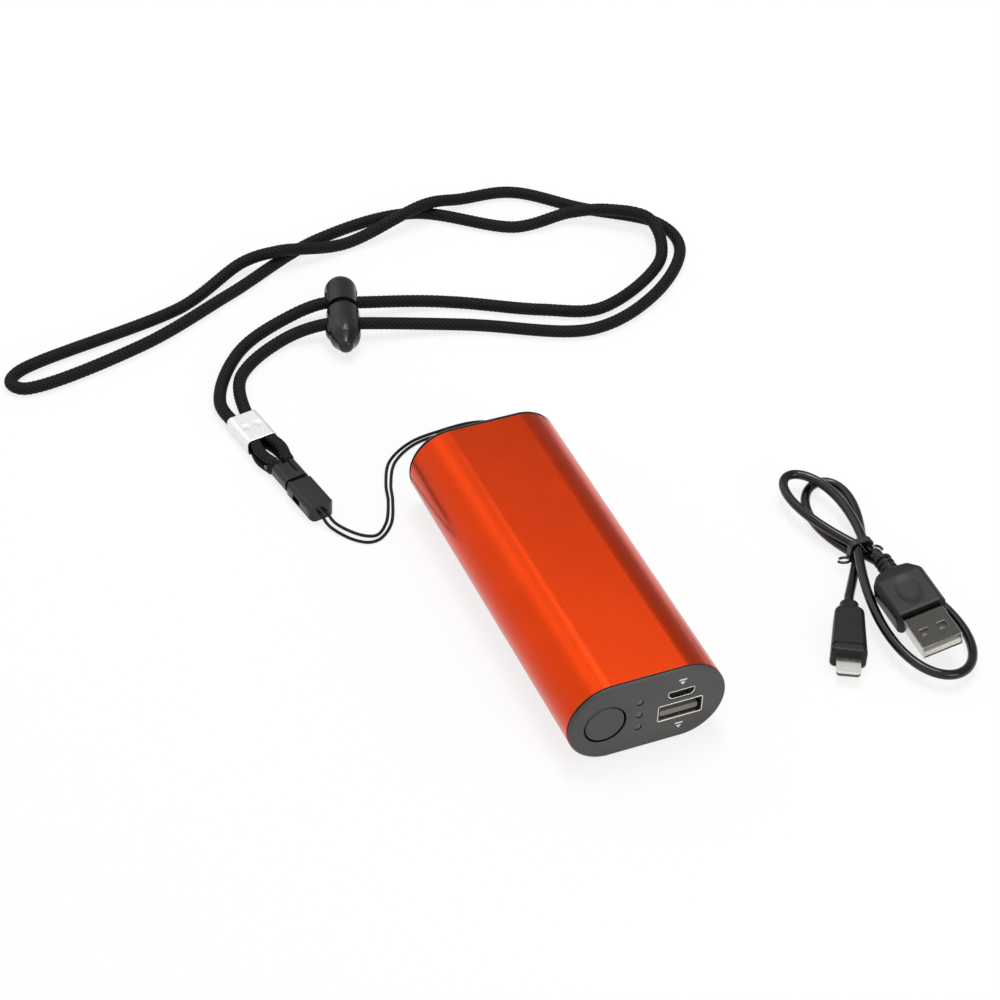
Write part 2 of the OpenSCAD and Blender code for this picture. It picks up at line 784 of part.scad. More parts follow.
module battery_leads() {
    front = cell_y0 - strip_t - wire_d / 2;
    rear = cell_y1 + strip_t + wire_d / 2;
    low = shell_wall + heater_t + pad_t + wire_d / 2 + play;
    inlet_y = board_end + play;
    inlet_z = board_z + board_t + jst_t / 2;
    below = board_z - wire_d;
    turn = 2 * wire_d;
    side = [1, 0, 0];
    color("#B3261E") tube([
        [-jst_w / 4, front, mid_z], [-jst_w / 4, front - wire_d, mid_z + wire_d],
        [-jst_w / 4, inlet_y + wire_d, inlet_z], [-jst_w / 4, inlet_y, inlet_z]
    ], wire_d, wire_sides, side);
    color("#161616") tube([
        [0, rear, mid_z], [0, rear + wire_d, mid_z - wire_d], [0, rear + turn, mid_z - turn],
        [0, rear + turn, low + turn], [0, rear + wire_d, low + wire_d / 4], [0, rear - wire_d, low],
        [0, front, low], [0, front - turn, low + wire_d / 2], [0, front - turn - wire_d, low + turn],
        [jst_w / 8, front - turn - wire_d, below], [jst_w / 4, front - turn, inlet_z - wire_d],
        [jst_w / 4, inlet_y + wire_d / 2, inlet_z], [jst_w / 4, inlet_y, inlet_z]
    ], wire_d, wire_sides, side);
}

module heater_leads() {
    start = (cell_y0 + cell_y1 - heater_l) / 2;
    high = body_t - shell_wall - heater_t - pad_t - thin_wire_d / 2;
    x = 2 * thin_wire_d + play;
    beside = jst_w / 2 + 2 * thin_wire_d;
    back = cell_y0 - 2 * bracket_bite;
    top = board_z + board_t;
    color("#E8E5DA") for (side = [-1, 1])
        tube([
            [side * x, start + sensor_l / 2, high], [side * x, back + thin_wire_d, high],
            [side * beside, back - 3 * thin_wire_d, high - 2 * thin_wire_d],
            [side * beside, back - jst_l, top + thin_wire_d],
            [side * beside, back - jst_l - 2 * thin_wire_d, top + thin_wire_d / 2]
        ], thin_wire_d, wire_sides);
}

module strap_pin() {
    color("#BFC1C3") on_rear() translate([strap_x, pin_l / 2, cap_proud - pin_depth]) rotate([90, 0, 0])
        cylinder(h = pin_l, d = pin_d, $fn = 32);
}

// Frame of the buckle, wraps and crimp: its -Y points to the warmer, its origin is where the halves meet
module on_strap() {
    translate([strap_at[0], strap_at[1], strap_z]) rotate([0, 0, strap_turn]) children();
}

module buckle_socket() {
    nose = buckle_nose_r;
    color("#17171A") on_strap() difference() {
        intersection() {
            run_y(-socket_l, socket_l) round_rect(buckle_w, buckle_t, buckle_round);
            translate([0, 0, -buckle_t]) linear_extrude(2 * buckle_t) {
                translate([-buckle_w / 2, nose - socket_l]) square([buckle_w, socket_l - nose]);
                translate([nose - buckle_w / 2, -socket_l]) square([buckle_w - 2 * nose, 2 * nose]);
                for (side = [-1, 1])
                    translate([side * (buckle_w / 2 - nose), nose - socket_l]) circle(r = nose);
            }
        }
        run_y(-socket_bore_l, socket_bore_l + cut) round_rect(socket_bore_w, socket_bore_t, buckle_round / 4);
        translate([0, window_y - window_l / 2, 0]) cube([2 * buckle_w, window_l, window_h], center = true);
        for (side = [-1, 1])
            translate([side * string_hole_gap, string_hole_l - socket_l, 0]) rotate([90, 0, 0])
                cylinder(h = string_hole_l + cut, d = string_d + 2 * string_play, $fn = 32);
    }
}

// One springy leg of the clip, with its lead-in slope
module clip_leg() {
    outer = socket_bore_w / 2 - play;
    linear_extrude(leg_t, center = true) polygon([
        [outer - leg_w, half_gap + notch_l], [outer, half_gap + notch_l], [outer, leg_slope - leg_l],
        [outer - leg_slope / 2, -leg_l], [outer - leg_w, -leg_l]
    ]);
}

module buckle_clip() {
    color("#1B1B1E") on_strap() difference() {
        union() {
            clip_leg();
            mirror([1, 0, 0]) clip_leg();
            translate([-key_w / 2, -key_l, -leg_t / 2]) cube([key_w, key_l + half_gap + notch_l, leg_t]);
            run_y(half_gap, notch_l) round_rect(notch_w, socket_bore_t, buckle_round / 2);
            run_y(half_gap + notch_l, neck_l) round_rect(neck_w, neck_t, buckle_round);
            translate([-web_w / 2, neck_end - cut, -web_t / 2]) cube([web_w, bar_y - neck_end + cut, web_t]);
            translate([-bar_l / 2, bar_y, 0]) rotate([0, 90, 0]) cylinder(h = bar_l, d = bar_d, $fn = 32);
        }
        for (side = [-1, 1])
            translate([0, half_gap + 2 * notch_l + neck_l / 2, side * neck_t / 2])
                cube([neck_panel_w, neck_l - notch_l, 2 * neck_panel_d], center = true);
    }
}

// The two cord ends, pressed flat, go round the clip's bar and back into the crimp
module cord_wraps() {
    mid_r = bar_d / 2 + play + wrap_t / 2;
    color("#1D1D1F") on_strap() for (side = [-1, 1]) translate([side * wrap_x, bar_y, 0]) {
        rotate([0, 90, 0]) rotate([0, 0, 180]) rotate_extrude(angle = 180)
            rotate([0, 0, 90]) translate([0, -mid_r]) round_rect(wrap_w, wrap_t, wrap_round);
        for (level = [-1, 1])
            translate([0, 0, level * mid_r]) run_y(0, crimp_y + wrap_bite - bar_y)
                round_rect(wrap_w, wrap_t, wrap_round);
    }
}

module cord_crimp() {
    in_w = crimp_w - 2 * crimp_wall;
    in_t = crimp_t - 2 * crimp_wall;
    color("#D9DADB") on_strap() difference() {
        run_y(crimp_y, crimp_l) round_rect(crimp_w, crimp_t, crimp_round);
        run_y(crimp_y - cut, crimp_l + 2 * cut) round_rect(in_w, in_t, crimp_round - crimp_wall);
        translate([0, crimp_y + crimp_l / 2, -crimp_t / 2])
            cube([crimp_seam, 2 * crimp_l, crimp_t / 2], center = true);
        for (side = [-1, 1])
            translate([side * crimp_w * crimp_dent_share, crimp_y + crimp_l / 2, crimp_t / 2 - crimp_dent])
                cylinder(h = cut, d = crimp_dent_d, $fn = 32);
    }
}

// Frame of the cord lock: its -Y points along the tail
module on_lock() {
    translate([lock_at[0], lock_at[1], lock_z]) rotate([0, 0, lock_turn]) children();
}

// A round form about the lock's line, from an outline of radius and distance along the line
module turned(points) {
    rotate([-90, 0, 0]) rotate_extrude() polygon(points);
}

// A hole for the cord across the lock
module cord_hole(y, w) {
    translate([-w / 2, y, 0]) rotate([0, 90, 0]) cylinder(h = w, d = lock_hole_d, $fn = 48);
}

// The same, stretched by the travel so that the button can slide over the cord
module cord_slot(y, w) {
    cord_hole(y, w);
    cord_hole(y + lock_travel, w);
    translate([-w / 2, y, -lock_hole_d / 2]) cube([w, lock_travel, lock_hole_d]);
}

module lock_barrel() {
    r = lock_d / 2;
    reach = lock_tail_end - lock_bore_end;
    ear_r = lock_ear_d / 2;
    color("#202023") on_lock() difference() {
        union() {
            turned(concat(
                [for (t = tail_shares) [t[0] * r, lock_bore_end + t[1] * reach]],
                [[r, -lock_hole_y - lock_hole_d / 2], [r, lock_shoulder], [0, lock_shoulder]]
            ));
            turned([[0, lock_shoulder - cut], [lock_sleeve_d / 2, lock_shoulder - cut],
                [lock_sleeve_d / 2, lock_sleeve_end], [0, lock_sleeve_end]]);
            translate([lock_ear_x, 0, 0]) turned(concat(
                [for (t = ear_shares) [t[0] * ear_r, lock_ear_end + t[1] * lock_ear_d]],
                [[ear_r, -lock_hole_y], [0, -lock_hole_y]]
            ));
        }
        turned([[0, lock_bore_end], [lock_bore_d / 2, lock_bore_end],
            [lock_bore_d / 2, lock_sleeve_end + cut], [0, lock_sleeve_end + cut]]);
        cord_hole(lock_hole_y, 2 * lock_d);
        cord_hole(-lock_hole_y, 2 * lock_d);
    }
}

module lock_button() {
    r = lock_d / 2;
    color("#26262A") on_lock() difference() {
        union() {
            difference() {
                turned(concat(
                    [[0, lock_skirt_end], [r, lock_skirt_end]],
                    [for (a = [0 : 10 : 90]) [r * cos(a), lock_dome_end - r + r * sin(a)]]
                ));
                turned([[0, lock_skirt_end - cut], [lock_sleeve_d / 2 + play, lock_skirt_end - cut],
                    [lock_sleeve_d / 2 + play, lock_roof], [0, lock_roof]]);
                cord_slot(lock_hole_y, 2 * lock_d);
                translate([-lock_d, lock_skirt_end - cut, -lock_hole_d / 2])
                    cube([2 * lock_d, lock_hole_y - lock_skirt_end + cut, lock_hole_d]);
            }
            turned([[0, lock_shank_end], [lock_shank_d / 2, lock_shank_end],
                [lock_shank_d / 2, lock_roof + cut], [0, lock_roof + cut]]);
        }
        cord_slot(lock_hole_y, lock_shank_d + cut);
        cord_slot(-lock_hole_y, lock_shank_d + cut);
    }
}

// Points of a tube's ring about p, square to the direction t; up is any direction that t never takes
function ring(p, t, r, sides, up) =
    let (s = cross(up, t) / norm(cross(up, t)), u = cross(t, s))
    [for (k = [0 : sides - 1]) let (a = 360 * k / sides) p + r * cos(a) * s + r * sin(a) * u];

// Direction of a route at its point i
function heading(route, i) =
    let (v = route[min(i + 1, len(route) - 1)] - route[max(i - 1, 0)]) v / norm(v);

// One unbroken tube along a route
module tube(route, d, sides, up = [0, 0, 1]) {
    n = len(route);
    points = [for (i = [0 : n - 1]) each ring(route[i], heading(route, i), d / 2, sides, up)];
    walls = [for (i = [0 : n - 2], k = [0 : sides - 1]) let (
        a = i * sides + k, b = i * sides + (k + 1) % sides, c = a + sides, e = b + sides)
        each [[a, c, b], [b, c, e]]];
    start = [for (k = [1 : sides - 2]) [0, k, k + 1]];
    last = (n - 1) * sides;
    end = [for (k = [1 : sides - 2]) [last, last + k + 1, last + k]];
    polyhedron(points = points, faces = concat(start, walls, end), convexity = 10);
}

// Smooth curve through four points, from b to c, at share s of the way
function knot(a, b) = sqrt(norm(b - a));
function along(a, b, c, d, s) =
    let (
        t1 = knot(a, b), t2 = t1 + knot(b, c), t3 = t2 + knot(c, d), t = t1 + (t2 - t1) * s,
        p = ((t1 - t) * a + t * b) / t1,
        q = ((t2 - t) * b + (t - t1) * c) / (t2 - t1),
        w = ((t3 - t) * c + (t - t2) * d) / (t3 - t2),
        pq = ((t2 - t) * p + t * q) / t2,
        qw = ((t3 - t) * q + (t - t1) * w) / (t3 - t1)
    )
    ((t2 - t) * pq + (t - t1) * qw) / (t2 - t1);

// A point kept on or above the height at which the cord lies
function lie(p, low) = [p[0], p[1], max(p[2], low)];

// A route smoothed, with its rings about one pitch apart
function smooth(route, pitch, low) =
    let (n = len(route))
    [
        for (i = [0 : n - 2])
            let (m = max(1, round(norm(route[i + 1] - route[i]) / pitch)))
            for (k = [0 : m - 1])
                lie(along(
                    i > 0 ? route[i - 1] : 2 * route[0] - route[1], route[i], route[i + 1],
                    i < n - 2 ? route[i + 2] : 2 * route[n - 1] - route[n - 2], k / m
                ), low),
        route[n - 1]
    ];

// Length of a route
function length_of(route, i = 0, sum = 0) =
    i >= len(route) - 1 ? sum : length_of(route, i + 1, sum + norm(route[i + 1] - route[i]));

module neck_cord() {
    route = smooth(neck_route, neck_pitch, cord_d / 2);
    echo("neck cord length", length_of(route));
    color("#1D1D1F") tube(route, cord_d, neck_sides);
}

module strap_string() {
    route = smooth(string_route, string_pitch, string_d / 2);
    echo("strap string length", length_of(route));
    color("#2A2A2C") tube(route, string_d, string_sides);
}

module lock_spring() {
    rings = spring_rings * spring_turns;
    r = (spring_d - spring_wire) / 2;
    rise = spring_l - spring_wire;
    route = [for (i = [0 : rings]) let (a = 360 * i / spring_rings)
        [r * cos(a), r * sin(a), spring_wire / 2 + rise * i / rings]];
    color("#B9BBBD") on_lock() translate([0, lock_bore_end, 0]) rotate([-90, 0, 0])
        tube(route, spring_wire, spring_sides);
}

// A point of the curve that leaves p along handle h and comes in to q along handle k
function bend(p, h, k, q, s) =
    pow(1 - s, 3) * p + 3 * pow(1 - s, 2) * s * (p + h) + 3 * (1 - s) * s * s * (q + k) + pow(s, 3) * q;
function bend_run(p, h, k, q, rings) = [for (i = [1 : rings]) bend(p, h, k, q, i / rings)];

// The four runs in the tie: side -1 is left, level 0 is the lower layer, end -1 is the front of the tie
function run_at(side, level, end) = [
    tie_at[0] + side * run_gap / 2,
    tie_at[1] + end * tie_straight,
    level == 0 ? run_low : run_high
];

// Forward direction of something turned by an angle about Z
function forward(turn) = [sin(turn), -cos(turn), 0];

micro_cable_end = [micro_plug_at[0], micro_plug_at[1], micro_grip_t / 2]
    - (micro_grip_l + micro_neck_l) * forward(micro_plug_turn);
usb_cable_end = [usb_plug_at[0], usb_plug_at[1], usb_plug_z]
    - (usb_shell_l + usb_grip_l + relief_l) * forward(usb_plug_turn);
micro_straight = micro_cable_end - cable_d * forward(micro_plug_turn);
usb_straight = usb_cable_end - cable_d * forward(usb_plug_turn);

cable_route = concat(
    [micro_cable_end, micro_straight],
    bend_run(micro_straight, -micro_pull * forward(micro_plug_turn), [0, -micro_pull, 0],
        run_at(-1, 0, -1), link_rings),
    [run_at(-1, 0, 1)],
    bend_run(run_at(-1, 0, 1), wide_loop[0], wide_loop[1], run_at(1, 0, 1), loop_rings),
    [run_at(1, 0, -1)],
    bend_run(run_at(1, 0, -1), low_loop[0], low_loop[1], run_at(-1, 1, -1), loop_rings),
    [run_at(-1, 1, 1)],
    bend_run(run_at(-1, 1, 1), thin_loop[0], thin_loop[1], run_at(1, 1, 1), loop_rings),
    [run_at(1, 1, -1)],
    bend_run(run_at(1, 1, -1), [0, -usb_pull, 0], -usb_pull / 2 * forward(usb_plug_turn),
        usb_straight, link_rings),
    [usb_cable_end]
);

// Points further apart along the cable than this count as different runs
apart = 12;
function place(route) = [for (i = 0, s = 0; i < len(route); i = i + 1,
    s = s + (i < len(route) ? norm(route[i] - route[i - 1]) : 0)) s];
function closest(route, s) = min([
    for (i = [0 : len(route) - 2], j = [i + 1 : len(route) - 1])
        if (s[j] - s[i] > apart) norm(route[i] - route[j])
]);

module charging_cable() {
    echo("charging cable length", length_of(cable_route));
    echo("charging cable gap to itself", closest(cable_route, place(cable_route)) - cable_d);
    color("#161618") tube(cable_route, cable_d, cable_sides);
}

module cable_tie() {
    in_w = run_gap + cable_d + 2 * play;
    out = in_w + 2 * tie_wall;
    z = (run_low + run_high) / 2;
    curl_x = out / 2 + curl_r + curl_d / 2 - tie_wall;
    color("#101012") {
        translate([tie_at[0], 0, z]) run_y(tie_at[1] - tie_l / 2, tie_l) difference() {
            round_rect(out, out, cable_d / 2 + tie_wall);
            round_rect(in_w, in_w, cable_d / 2);
        }
        for (side = [-1, 1])
            translate([tie_at[0] + side * curl_x, tie_at[1] - curl_d, run_low])
                rotate([side * 20, 0, 0]) rotate([0, 0, side * 90 - 90]) rotate_extrude(angle = 290)
                    translate([curl_r, 0]) circle(d = curl_d, $fn = 16);
    }
}

// Frame of the micro-USB plug: its -Y points out of the tip, its origin is at the front of the grip
module on_micro_plug() {
    translate([micro_plug_at[0], micro_plug_at[1], micro_grip_t / 2])
        rotate([0, 0, micro_plug_turn]) children();
}

module micro_plug_grip() {
    f = micro_grip_w / 2;
    b = f * micro_grip_rear_share;
    c = micro_grip_round;
    color("#242427") on_micro_plug() difference() {
        union() {
            intersection() {
                run_y(0, micro_grip_l) round_rect(micro_grip_w, micro_grip_t, micro_grip_round);
                translate([0, 0, -micro_grip_t]) linear_extrude(2 * micro_grip_t) polygon([
                    [-f + c / 2, 0], [f - c / 2, 0], [f, c / 2], [b, micro_grip_l - c], [b - c, micro_grip_l],
                    [c - b, micro_grip_l], [-b, micro_grip_l - c], [-f, c / 2]
                ]);
            }
            run_y(micro_grip_l - cut, micro_neck_l + cut)
                round_rect(micro_neck_w, micro_neck_t, micro_grip_round);
        }
        run_y(-cut, micro_tip_bite + cut)
            square([micro_tip_w + 2 * play, micro_tip_t + 2 * play], center = true);
    }
}

// Outline of the micro-USB tip, its narrow side down
module tip_outline(g) {
    w = micro_tip_w / 2 + g;
    h = micro_tip_t / 2 + g;
    c = micro_tip_t * micro_chamfer_share;
    polygon([[-w, h], [w, h], [w, c - h], [w - c, -h], [c - w, -h], [-w, c - h]]);
}

module micro_plug_shell() {
    color("#C4C6C8") on_micro_plug() difference() {
        run_y(-micro_tip_l, micro_tip_l + micro_tip_bite - play) tip_outline(0);
        run_y(-micro_tip_l - cut, micro_tip_l + cut) tip_outline(-tip_wall);
    }
}

module micro_plug_tongue() {
    color("#E2E0D8") on_micro_plug() translate([0, 0, (micro_tip_t / 2 - tip_wall) / 2])
        run_y(tip_wall - micro_tip_l, micro_tip_l - tip_wall)
            square([micro_tip_w - 4 * tip_wall, micro_tip_t / 2 - tip_wall], center = true);
}

// Frame of the USB-A plug: its -Y points out of the metal shell, its origin is at the shell's mouth
module on_usb_plug() {
    translate([usb_plug_at[0], usb_plug_at[1], usb_plug_z]) rotate([0, 0, usb_plug_turn])
        rotate([0, usb_plug_roll, 0]) children();
}

module usb_plug_grip() {
    y0 = usb_shell_l;
    y1 = usb_shell_l + usb_grip_l;
    w = usb_grip_w / 2;
    rib = relief_l / relief_ribs;
    color("#1C1C1F") on_usb_plug() {
        difference() {
            intersection() {
                run_y(y0, usb_grip_l) round_rect(usb_grip_w, usb_grip_t, usb_grip_round);
                translate([0, 0, -usb_grip_t]) linear_extrude(2 * usb_grip_t) polygon([
                    [-w, y0], [w, y0], [w, y1 - usb_taper_l], [relief_d / 2, y1], [-relief_d / 2, y1],
                    [-w, y1 - usb_taper_l]
                ]);
            }
            run_y(y0 - cut, usb_shell_bite + cut)
                square([usb_shell_w + 2 * play, usb_shell_t + 2 * play], center = true);
        }
        translate([0, y1 - cut, 0]) rotate([-90, 0, 0])
            cylinder(h = relief_l + cut, d1 = relief_d, d2 = relief_tip_d);
        for (i = [1 : relief_ribs])
            translate([0, y1 + i * rib - relief_rib_l, 0]) rotate([-90, 0, 0])
                cylinder(h = relief_rib_l, d = relief_d);
    }
}

module usb_plug_shell() {
    color("#BFC1C4") on_usb_plug() difference() {
        run_y(0, usb_shell_l + usb_shell_bite - play) round_rect(usb_shell_w, usb_shell_t, usb_shell_wall);
        run_y(-cut, usb_shell_l + cut)
            square([usb_shell_w - 2 * usb_shell_wall, usb_shell_t - 2 * usb_shell_wall], center = true);
        for (side = [-1, 1])
            translate([side * usb_hole_x, usb_hole_y, 0])
                cube([usb_hole_w, usb_hole_w, 2 * usb_shell_t], center = true);
    }
}

module usb_plug_insert() {
    h = (usb_shell_t - 2 * usb_shell_wall) / 2;
    color("#EDECE6") on_usb_plug() translate([0, 0, -h / 2])
        run_y(usb_shell_wall, usb_shell_l - usb_shell_wall)
            square([usb_shell_w - 2 * usb_shell_wall - play, h - play], center = true);
}

shell();
front_cap();
rear_cap();
front_seal();
rear_seal();
power_button();
tact_plunger();
tact_switch();
button_board();
charge_leds();
light_guide();
usb_a_socket();
usb_a_tongue();
usb_a_contacts();
micro_usb_socket();
micro_usb_tongue();
main_board();
power_chips();
inductor();
battery_connector();
board_screws();
cell_left();
cell_right();
cell_bracket_front();
cell_bracket_rear();
cell_strip_front();
cell_strip_rear();
heater_top();
heater_bottom();
heat_pad_top();
heat_pad_bottom();
temperature_sensor();
battery_leads();
heater_leads();
strap_pin();
strap_string();
buckle_socket();
buckle_clip();
cord_wraps();
cord_crimp();
neck_cord();
lock_barrel();
lock_button();
lock_spring();
charging_cable();
cable_tie();
micro_plug_grip();
micro_plug_shell();
micro_plug_tongue();
usb_plug_grip();
usb_plug_shell();
usb_plug_insert();
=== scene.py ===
import math

import bmesh
import bpy
import numpy as np
from mathutils import Matrix, Vector


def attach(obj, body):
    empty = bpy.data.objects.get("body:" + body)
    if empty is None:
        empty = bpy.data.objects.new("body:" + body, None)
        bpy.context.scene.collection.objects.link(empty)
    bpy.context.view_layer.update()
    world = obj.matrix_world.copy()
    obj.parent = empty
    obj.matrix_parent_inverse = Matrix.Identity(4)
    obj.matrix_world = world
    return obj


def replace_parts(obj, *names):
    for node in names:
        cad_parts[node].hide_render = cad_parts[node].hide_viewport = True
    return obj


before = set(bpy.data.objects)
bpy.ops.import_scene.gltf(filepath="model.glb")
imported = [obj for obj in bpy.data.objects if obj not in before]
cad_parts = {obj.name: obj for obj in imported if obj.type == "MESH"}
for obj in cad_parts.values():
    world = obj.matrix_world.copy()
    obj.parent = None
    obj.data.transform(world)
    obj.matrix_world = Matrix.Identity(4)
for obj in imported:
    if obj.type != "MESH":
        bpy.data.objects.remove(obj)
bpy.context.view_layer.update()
mm = 0.001
print("frame loaded:", len(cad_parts), "nodes")

# Sizes below are in millimetres. The warmer lies on one of its flats and -Y is the end with the ports
warmer = {
    "width": 46, "thickness": 25, "tubeLength": 111.8, "wall": 1.3,
    "seal": 0.3, "capProud": 1.2, "capEdge": 0.9, "capThickness": 2.2, "seam": (0.28, 0.5),
    "plugPlay": 0.1, "skirt": 4, "skirtWall": 1.4, "openingDepth": 3.5,
}
midHeight = warmer["thickness"] / 2
atMiddle = Matrix.Translation((0, 0, midHeight))
tubeEnd = warmer["tubeLength"] / 2
capSeat = tubeEnd + warmer["seal"]
capFace = capSeat + warmer["capProud"]
overrun = 1  # how far a cut runs past a face, and a root reaches into what carries it
weld = 0.002  # points closer than this are one


def turnedTo(place, about, tilt=0):
    spun = Matrix.Rotation(math.radians(about), 4, "Z") @ Matrix.Rotation(math.radians(tilt), 4, "Y")
    return Matrix.Translation(place) @ spun


# Frames of the things on the strap and on the lead, each with its front towards -Y
strapFrame = turnedTo((-51, 72.8, 2.8), 9.8)
microFrame = turnedTo((64.9, -50.6, 3.5), -28.5)
usbFrame = turnedTo((89, -59.3, 8.4), -2, -12)

camera = {
    "place": (-258.04, -523.63, 541.23), "right": (0.9209, -0.3883, 0.0329),
    "up": (0.2305, 0.6107, 0.7575), "back": (-0.3143, -0.6900, 0.6520),
    "sensor": 36, "focalShare": 2.826, "nearest": 20,
}


def addObject(name, data):
    made = bpy.data.objects.new(name, data)
    bpy.context.scene.collection.objects.link(made)
    return made


def addCamera():
    lens = bpy.data.cameras.new("camera")
    lens.sensor_width = camera["sensor"]
    lens.lens = camera["sensor"] * camera["focalShare"]
    lens.clip_start = camera["nearest"] * mm
    eye = addObject("camera", lens)
    axes = Matrix((camera["right"], camera["up"], camera["back"])).transposed()
    eye.matrix_world = Matrix.Translation(Vector(camera["place"]) * mm) @ axes.to_4x4()
    bpy.context.scene.camera = eye


addCamera()
print("camera set")

# The cords' routes are the same as in the solids, from one end to the other
neckCord = {
    "diameter": 4, "sides": 32, "ringGap": 0.41, "lowest": 2.0,
    "strands": 8, "strandPitch": 1.57, "relief": 0.2,
    "route": [
        (-58.5, 102.5, 2.8), (-60, 119, 2), (-46, 141, 2), (-28, 150.5, 2.8), (-15, 151, 5.2),
        (-4, 147.5, 5.2), (20, 143.5, 2.2), (50, 128, 2), (68, 122, 2), (98, 140, 2),
        (101.5, 157, 5.6), (91, 165.5, 6.1), (80, 172, 3.4), (60, 172.5, 2), (31, 191.5, 2),
        (-2.5, 188.5, 2), (-39.5, 170, 2), (-74, 154, 2), (-113.5, 146, 2), (-116.5, 150, 2),
        (-113, 154.5, 2), (-56.5, 168.5, 2), (-30, 183, 3.6), (-19.5, 180.8, 6.4), (4, 182.5, 2.4),
        (34.8, 189, 6.4), (49, 192.5, 2.8), (66.5, 191.5, 2), (85, 175, 2), (105.5, 158, 2),
        (106.5, 143.5, 2), (88, 123, 2), (61, 113, 2), (24, 129, 2.2), (-7, 137, 5.2),
        (-18, 140.5, 5.2), (-31, 141.5, 2.4), (-50, 128.5, 2), (-54.5, 110, 2.4), (-54, 103, 2.8),
    ],
}
strapString = {
    "diameter": 1, "sides": 16, "ringGap": 0.2, "lowest": 0.5,
    "strands": 4, "strandPitch": 0.8, "relief": 0.06,
    "route": [
        (-50, 61.8, 2.8), (-49.5, 58.7, 2.8), (-48.5, 54.8, 1.3), (-44, 47.8, 0.5), (-40, 44.8, 0.5),
        (-36.5, 45, 0.5), (-31.3, 49.7, 0.5), (-27, 59.3, 0.5), (-24.8, 66.5, 0.5), (-20, 75.5, 0.5),
        (-11.5, 81.3, 0.5), (-3, 82.6, 0.6), (4, 81, 2.2), (8, 75.5, 6), (9.1, 67, 10.6),
        (9, 58.5, 12.5), (9, 55.2, 12.5), (9.4, 54.1, 12.5), (10.5, 53.7, 12.5), (11.6, 54.1, 12.5),
        (12, 55.2, 12.5), (12, 58.5, 12.5), (11.9, 67, 10.8), (10.8, 76.5, 6.4), (6.5, 82.8, 2.4),
        (-2, 84.2, 0.8), (-12, 82.7, 0.5), (-21.4, 76.4, 0.5), (-26.2, 66.9, 0.5), (-28.3, 59.6, 0.5),
        (-32.5, 50.7, 0.5),
        (-36.8, 46.9, 0.5), (-40.5, 48.2, 0.5), (-46.3, 55, 1.3), (-47.7, 59, 2.8), (-48.2, 62.1, 2.8),
    ],
}
# A hank under a tie. Its two loops and the bend below it each have a handle at the start and one at the end
chargingLead = {
    "diameter": 2.8, "sides": 24, "ringGap": 0.5, "tie": (89.6, -11.5), "tieHalf": 1.5,
    "low": 2.0, "high": 5.4, "runGap": 3.4,
    "wide": ((-17, 36.5, -0.6), (25, 47, -0.6)), "thin": ((-24.5, 42.5, 1.1), (12, 47, -1.1)),
    "lower": ((36.5, -65.5, 0.1), (-33.5, -78, 1)), "microPull": 0.5, "usbPull": 2.5,
    "microEnd": 22.7, "usbEnd": 37,
}
curveSteps = 40  # points on each stretch of a route, before they are spaced evenly


def betweenKnots(a, b, c, d, share):
    # A smooth curve from b to c, with its knots spread by the root of their distance
    t1 = np.linalg.norm(b - a) ** 0.5
    t2 = t1 + np.linalg.norm(c - b) ** 0.5
    t3 = t2 + np.linalg.norm(d - c) ** 0.5
    t = (t1 + (t2 - t1) * share)[:, None]
    p = ((t1 - t) * a + t * b) / t1
    q = ((t2 - t) * b + (t - t1) * c) / (t2 - t1)
    w = ((t3 - t) * c + (t - t2) * d) / (t3 - t2)
    return ((t2 - t) * ((t2 - t) * p + t * q) / t2
            + (t - t1) * ((t3 - t) * q + (t - t1) * w) / (t3 - t1)) / (t2 - t1)


def evenlySpaced(points, gap):
    way = np.r_[0, np.cumsum(np.linalg.norm(np.diff(points, axis=0), axis=1))]
    at = np.linspace(0, way[-1], int(round(way[-1] / gap)) + 1)
    return np.column_stack([np.interp(at, way, points[:, k]) for k in range(3)]), at


def smoothRoute(cord):
    knots = np.array(cord["route"], float)
    knots = np.vstack([2 * knots[0] - knots[1], knots, 2 * knots[-1] - knots[-2]])
    share = np.linspace(0, 1, curveSteps, endpoint=False)
    points = np.vstack([betweenKnots(*knots[i:i + 4], share) for i in range(len(knots) - 3)] + [knots[-2:-1]])
    points[:, 2] = np.maximum(points[:, 2], cord["lowest"])
    return evenlySpaced(points, cord["ringGap"])


def handledCurve(start, leave, arrive, end):
    s = np.linspace(0, 1, curveSteps + 1)[1:, None]
    return ((1 - s) ** 3 * start + 3 * (1 - s) ** 2 * s * (start + leave)
            + 3 * (1 - s) * s ** 2 * (end + arrive) + s ** 3 * end)


